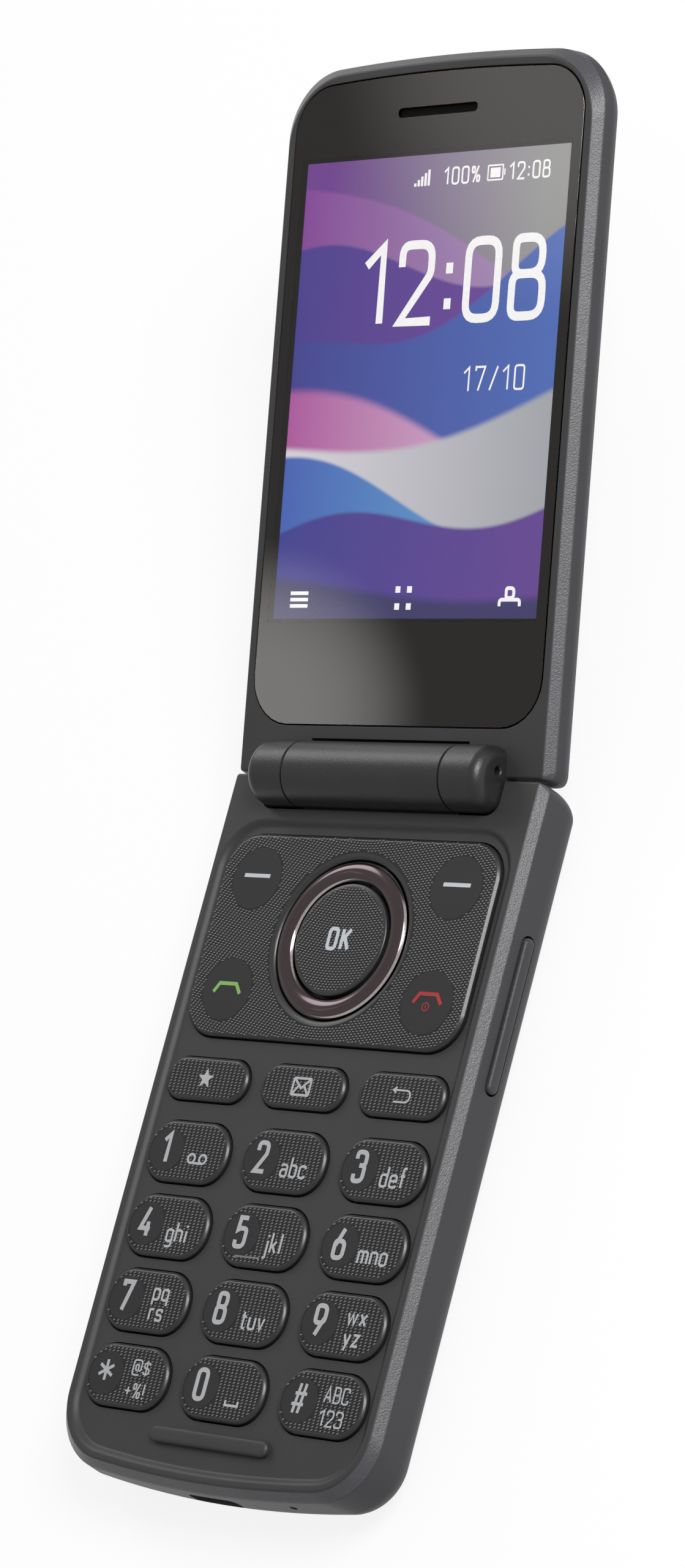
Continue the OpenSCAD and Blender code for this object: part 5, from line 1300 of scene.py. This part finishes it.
# %% Small pieces of the shells
# Steps of the rocker, the bumper and the window: inset and height. Of the lens: radius and height
ROCKER = [(0.0, 23.8), (0.0, 26.1), (0.08, 26.32), (0.24, 26.46), (0.5, 26.53), (0.9, 26.55)]
BUMPER = [(0.0, 8.7), (0.0, 9.55), (0.03, 9.63), (0.2, 9.8), (0.28, 9.85), (0.5, 9.88), (0.8, 9.89)]
WINDOW = [(0.0, -LID_T + 0.6), (0.0, -LID_T + 0.12), (0.12, -LID_T)]
LENS = [(LENS_R, -LID_T + 0.6), (LENS_R, -LID_T + 0.05), (4.1, -LID_T), (3.5, -LID_T), (3.4, -LID_T + 0.08),
        (2.0, -LID_T + 0.1)]
ROCKER_R, BUMPER_L, BUMPER_W, BUMPER_R = 0.85, 19.2, 2.0, 0.95
rings = []
for inset, x in ROCKER:
    outline = shifted(rounded(ROCKER_L, ROCKER_W, ROCKER_R, inset), rocker_mid.y, rocker_mid.z)
    rings.append([Vector((x, y, z)) * MM for y, z in outline])
settle(loft("volume_rocker_bead", rings, [flank_abs]), "rocker_body", "rocker_plastic", "side_rocker")
bump_mid = middle(*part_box("lid_bumper"))
bumper = pillow("bumper_bar", BUMPER_L, BUMPER_W, BUMPER_R, bump_mid.x, bump_mid.y, BUMPER, [satin_abs])
settle(bumper, "base", "bumper_rubber", "lid_bumper")
rings = [on_lid(shifted(rounded(OUTER_W, OUTER_H, OUTER_R, inset), 0, OUTER_V), z) for inset, z in WINDOW]
window = loft("outer_window_glass", rings, [smoked_glass])
settle(window, "lid", "outer_glass", "outer_window")
rings = [on_lid(shifted(circle(r, 64), 0, LENS_V), z) for r, z in LENS]
lens = loft("camera_cover", rings, [bright_cut, smoked_glass], [0, 0, 0, 1, 1])
settle(lens, "lid", "outer_glass", "camera_lens")
print("rocker, bumper, window and lens made")

# %% [markdown]
# ## Finishes for the CAD solids that stay
#
# Inside the phone the CAD solids are right as they are. They only get finishes, by the slot that
# the record gives each of them.

# %% Finishes by slot
# Drawn steel: fine scratches, long in the direction of drawing
steel, tree, surface, place = start("drawn_steel", Metallic=1.0)
drawn_out = add(tree, "ShaderNodeMapping", {"Vector": place, "Scale": (0.05, 1, 1)})
brush = add(tree, NOISE, {"Vector": drawn_out, "Scale": 1000 / 0.08})
steel_tint = add(tree, MIX, {"Factor": brush, 6: linear("9fa1a5"), 7: linear("c4c6c9")}, data_type="RGBA")
steel_gloss = add(tree, RANGE, {"Value": brush, "To Min": 0.22, "To Max": 0.45})
tree.links.new(steel_tint.outputs[2], surface.inputs["Base Color"])
tree.links.new(steel_gloss.outputs[0], surface.inputs["Roughness"])
# Gold plate on the contacts: warm, with an even satin
gold = speckled("gold_plate", 0.2, "b98f3c", "e0bd6a", 0.28, 0.28, Metallic=1.0)
# Woven mesh behind the earpiece: crossing threads, near black
mesh_cloth, tree, surface, place = start("woven_mesh", Roughness=0.8, Specular_IOR_Level=0.1)
weave = add(tree, "ShaderNodeTexChecker", {"Vector": place, "Scale": 1000 / 0.16,
                                           "Color1": linear("040404"), "Color2": linear("0d0d0e")})
tree.links.new(weave.outputs["Color"], surface.inputs["Base Color"])
# Films and mouldings of the inside: glossy films, matte rubber and nylon
by_slot = {
    "chassis_plastic": moulded("glass_filled_nylon", "4a4b50", "5d5e63", 0.25, 0.01, 0.55),
    "battery_wrap": moulded("battery_wrap_film", "1c1d20", "26272b", 0.5, 0.004, 0.35),
    "circuit_board": moulded("solder_mask", "174a30", "236a46", 0.4, 0.006, 0.35),
    "dome_film": moulded("polyester_film", "bcb9af", "d2cfc6", 0.3, 0.002, 0.3),
    "silicone": moulded("silicone_rubber", "7f8084", "95969a", 0.2, 0.006, 0.6),
    "inner_plastic": moulded("black_nylon", "202123", "2c2d30", 0.25, 0.008, 0.5),
    "flex_film": moulded("polyimide_film", "a4641f", "c98a3a", 0.3, 0.002, 0.3),
    "lit_display": moulded("display_back_foil", "2c2c34", "3c3c46", 0.4, 0.002, 0.4),
    "dark_display": moulded("unlit_display", "141519", "1e2025", 1.0, 0.001, 0.15),
    "socket_steel": steel, "hinge_steel": steel, "contact_gold": gold, "ear_mesh": mesh_cloth,
}
slot_of = {part["node"]: part["material_slot"] for part in frame["record"]["subparts"]}
left_as_cad = 0
for node, solid in frame["nodes"].items():
    if slot_of[node] in by_slot and not solid.hide_render:
        solid.data.materials.clear()
        solid.data.materials.append(by_slot[slot_of[node]])
        left_as_cad += 1
print("CAD solids kept:", left_as_cad)

# %% [markdown]
# ## Floor and light
#
# The phone lies on a plain white floor. A big soft box to the right lights the chamfers, and a weaker
# one behind on the left draws the barrel. The studio's dome is even, and a little warm where the
# phone mirrors it, and two soft windows in it are what the glass mirrors. The white that the camera
# sees comes from the floor and the world, not from more light on the phone.

# %% Floor
# The floor lies a hair under the flat back, so that the two don't share one plane
FLOOR_HALF, FLOOR_LOW, FLOOR_SHARE = 3, -0.05 * MM, 0.86
floor_mesh = bpy.data.meshes.new("floor")
sides = ((-1, -1), (1, -1), (1, 1), (-1, 1))
floor_mesh.from_pydata([(x * FLOOR_HALF, y * FLOOR_HALF, FLOOR_LOW) for x, y in sides], [], [(0, 1, 2, 3)])
floor = bpy.data.objects.new("floor", floor_mesh)
scene.collection.objects.link(floor)
# White paper: matte fibres. To the eye and to mirrors it glows white, to other light it is grey
paper, tree, surface, place = start("white_paper", Roughness=0.9)
fibre = add(tree, NOISE, {"Vector": place, "Scale": 1000 / 0.6})
white = add(tree, MIX, {"Factor": fibre, 6: linear("f4f4f4"), 7: linear("fafafa")}, data_type="RGBA")
rays = add(tree, "ShaderNodeLightPath").outputs
seen = add(tree, MATH, {0: rays["Is Camera Ray"], 1: rays["Is Glossy Ray"]}, operation="MAXIMUM")
seen = add(tree, MATH, {0: seen, 1: rays["Is Transmission Ray"]}, operation="MAXIMUM")
bounced = add(tree, MIX, {"Factor": seen, 6: linear("8a8a8a"), 7: white.outputs[2]}, data_type="RGBA")
tree.links.new(bounced.outputs[2], surface.inputs["Base Color"])
glow = add(tree, "ShaderNodeEmission", {"Color": (1, 1, 1, 1), "Strength": 1.0})
share = add(tree, MATH, {0: seen, 1: FLOOR_SHARE}, operation="MULTIPLY")
blend = add(tree, "ShaderNodeMixShader", {0: share, 1: surface, 2: glow})
shown_by = next(n for n in tree.nodes if n.type == "OUTPUT_MATERIAL")
tree.links.new(blend.outputs[0], shown_by.inputs["Surface"])
floor_mesh.materials.append(paper)
print("floor lies at, mm:", FLOOR_LOW / MM)

# %% World
# Strength of the dome as a light and as a mirror image, and the mirror image's warm tint
DOME_LIGHT, DOME_MIRRORED, WARM = 0.36, 0.53, (1, 0.96, 0.93, 1)
# Each window: the point of the glass that mirrors it, its half width in degrees and its strength
WINDOWS = [(-23, 8, 1.0, 3.3), (24, 87, 1.5, 1.5)]
world = bpy.data.worlds.new("studio")
world.use_nodes = True
scene.world = world
tree = world.node_tree
tree.nodes.clear()
rays = add(tree, "ShaderNodeLightPath").outputs
toward = add(tree, "ShaderNodeTexCoord").outputs["Generated"]
dome = DOME_MIRRORED
glass_up = (turn_up.to_3x3() @ Vector((0, 0, 1))).normalized()
for x, v, half_width, strength in WINDOWS:
    ray = (turn_up @ (Vector((x, v, 0)) * MM) - eye).normalized()
    way = ray - 2 * ray.dot(glass_up) * glass_up
    near = add(tree, VECTORS, {0: toward, 1: way}, operation="DOT_PRODUCT").outputs["Value"]
    edge = math.cos(math.radians(2 * half_width))
    pane = add(tree, RANGE, {"Value": near, "From Min": edge, "From Max": 1.0, "To Min": 0.0,
                             "To Max": strength}, interpolation_type="SMOOTHSTEP")
    dome = add(tree, MATH, {0: dome, 1: pane}, operation="ADD")
mirror = add(tree, MIX, {"Factor": rays["Is Glossy Ray"], 2: DOME_LIGHT, 3: dome})
shown = add(tree, MATH, {0: rays["Is Camera Ray"], 1: rays["Is Transmission Ray"]}, operation="MAXIMUM")
level = add(tree, MIX, {"Factor": shown, 2: mirror, 3: 1.0})
warmth = add(tree, MIX, {"Factor": rays["Is Glossy Ray"], 6: (1, 1, 1, 1), 7: WARM}, data_type="RGBA")
sky = add(tree, "ShaderNodeBackground", {"Color": warmth.outputs[2], "Strength": level})
add(tree, "ShaderNodeOutputWorld", {"Surface": sky})
print("windows in the dome:", len(WINDOWS))

# %% Lamps
# Each lamp: its direction from the phone, its distance and size in metres, and its power in watts
LAMPS = {"right_softbox": ((0.68, 0.30, 0.66), 0.8, 0.4, 6.0),
         "rear_left_softbox": ((-0.675, 0.57, 0.45), 0.9, 0.45, 1.7)}
aim = Vector((0, 0.04, 0.015))
for name, (way, far, size, watts) in LAMPS.items():
    lamp_data = bpy.data.lights.new(name, "AREA")
    lamp_data.shape, lamp_data.size, lamp_data.energy = "DISK", size, watts
    lamp = bpy.data.objects.new(name, lamp_data)
    lamp.location = aim + Vector(way).normalized() * far
    lamp.rotation_euler = (aim - lamp.location).to_track_quat("-Z", "Y").to_euler()
    scene.collection.objects.link(lamp)
print("lamps:", len(LAMPS))
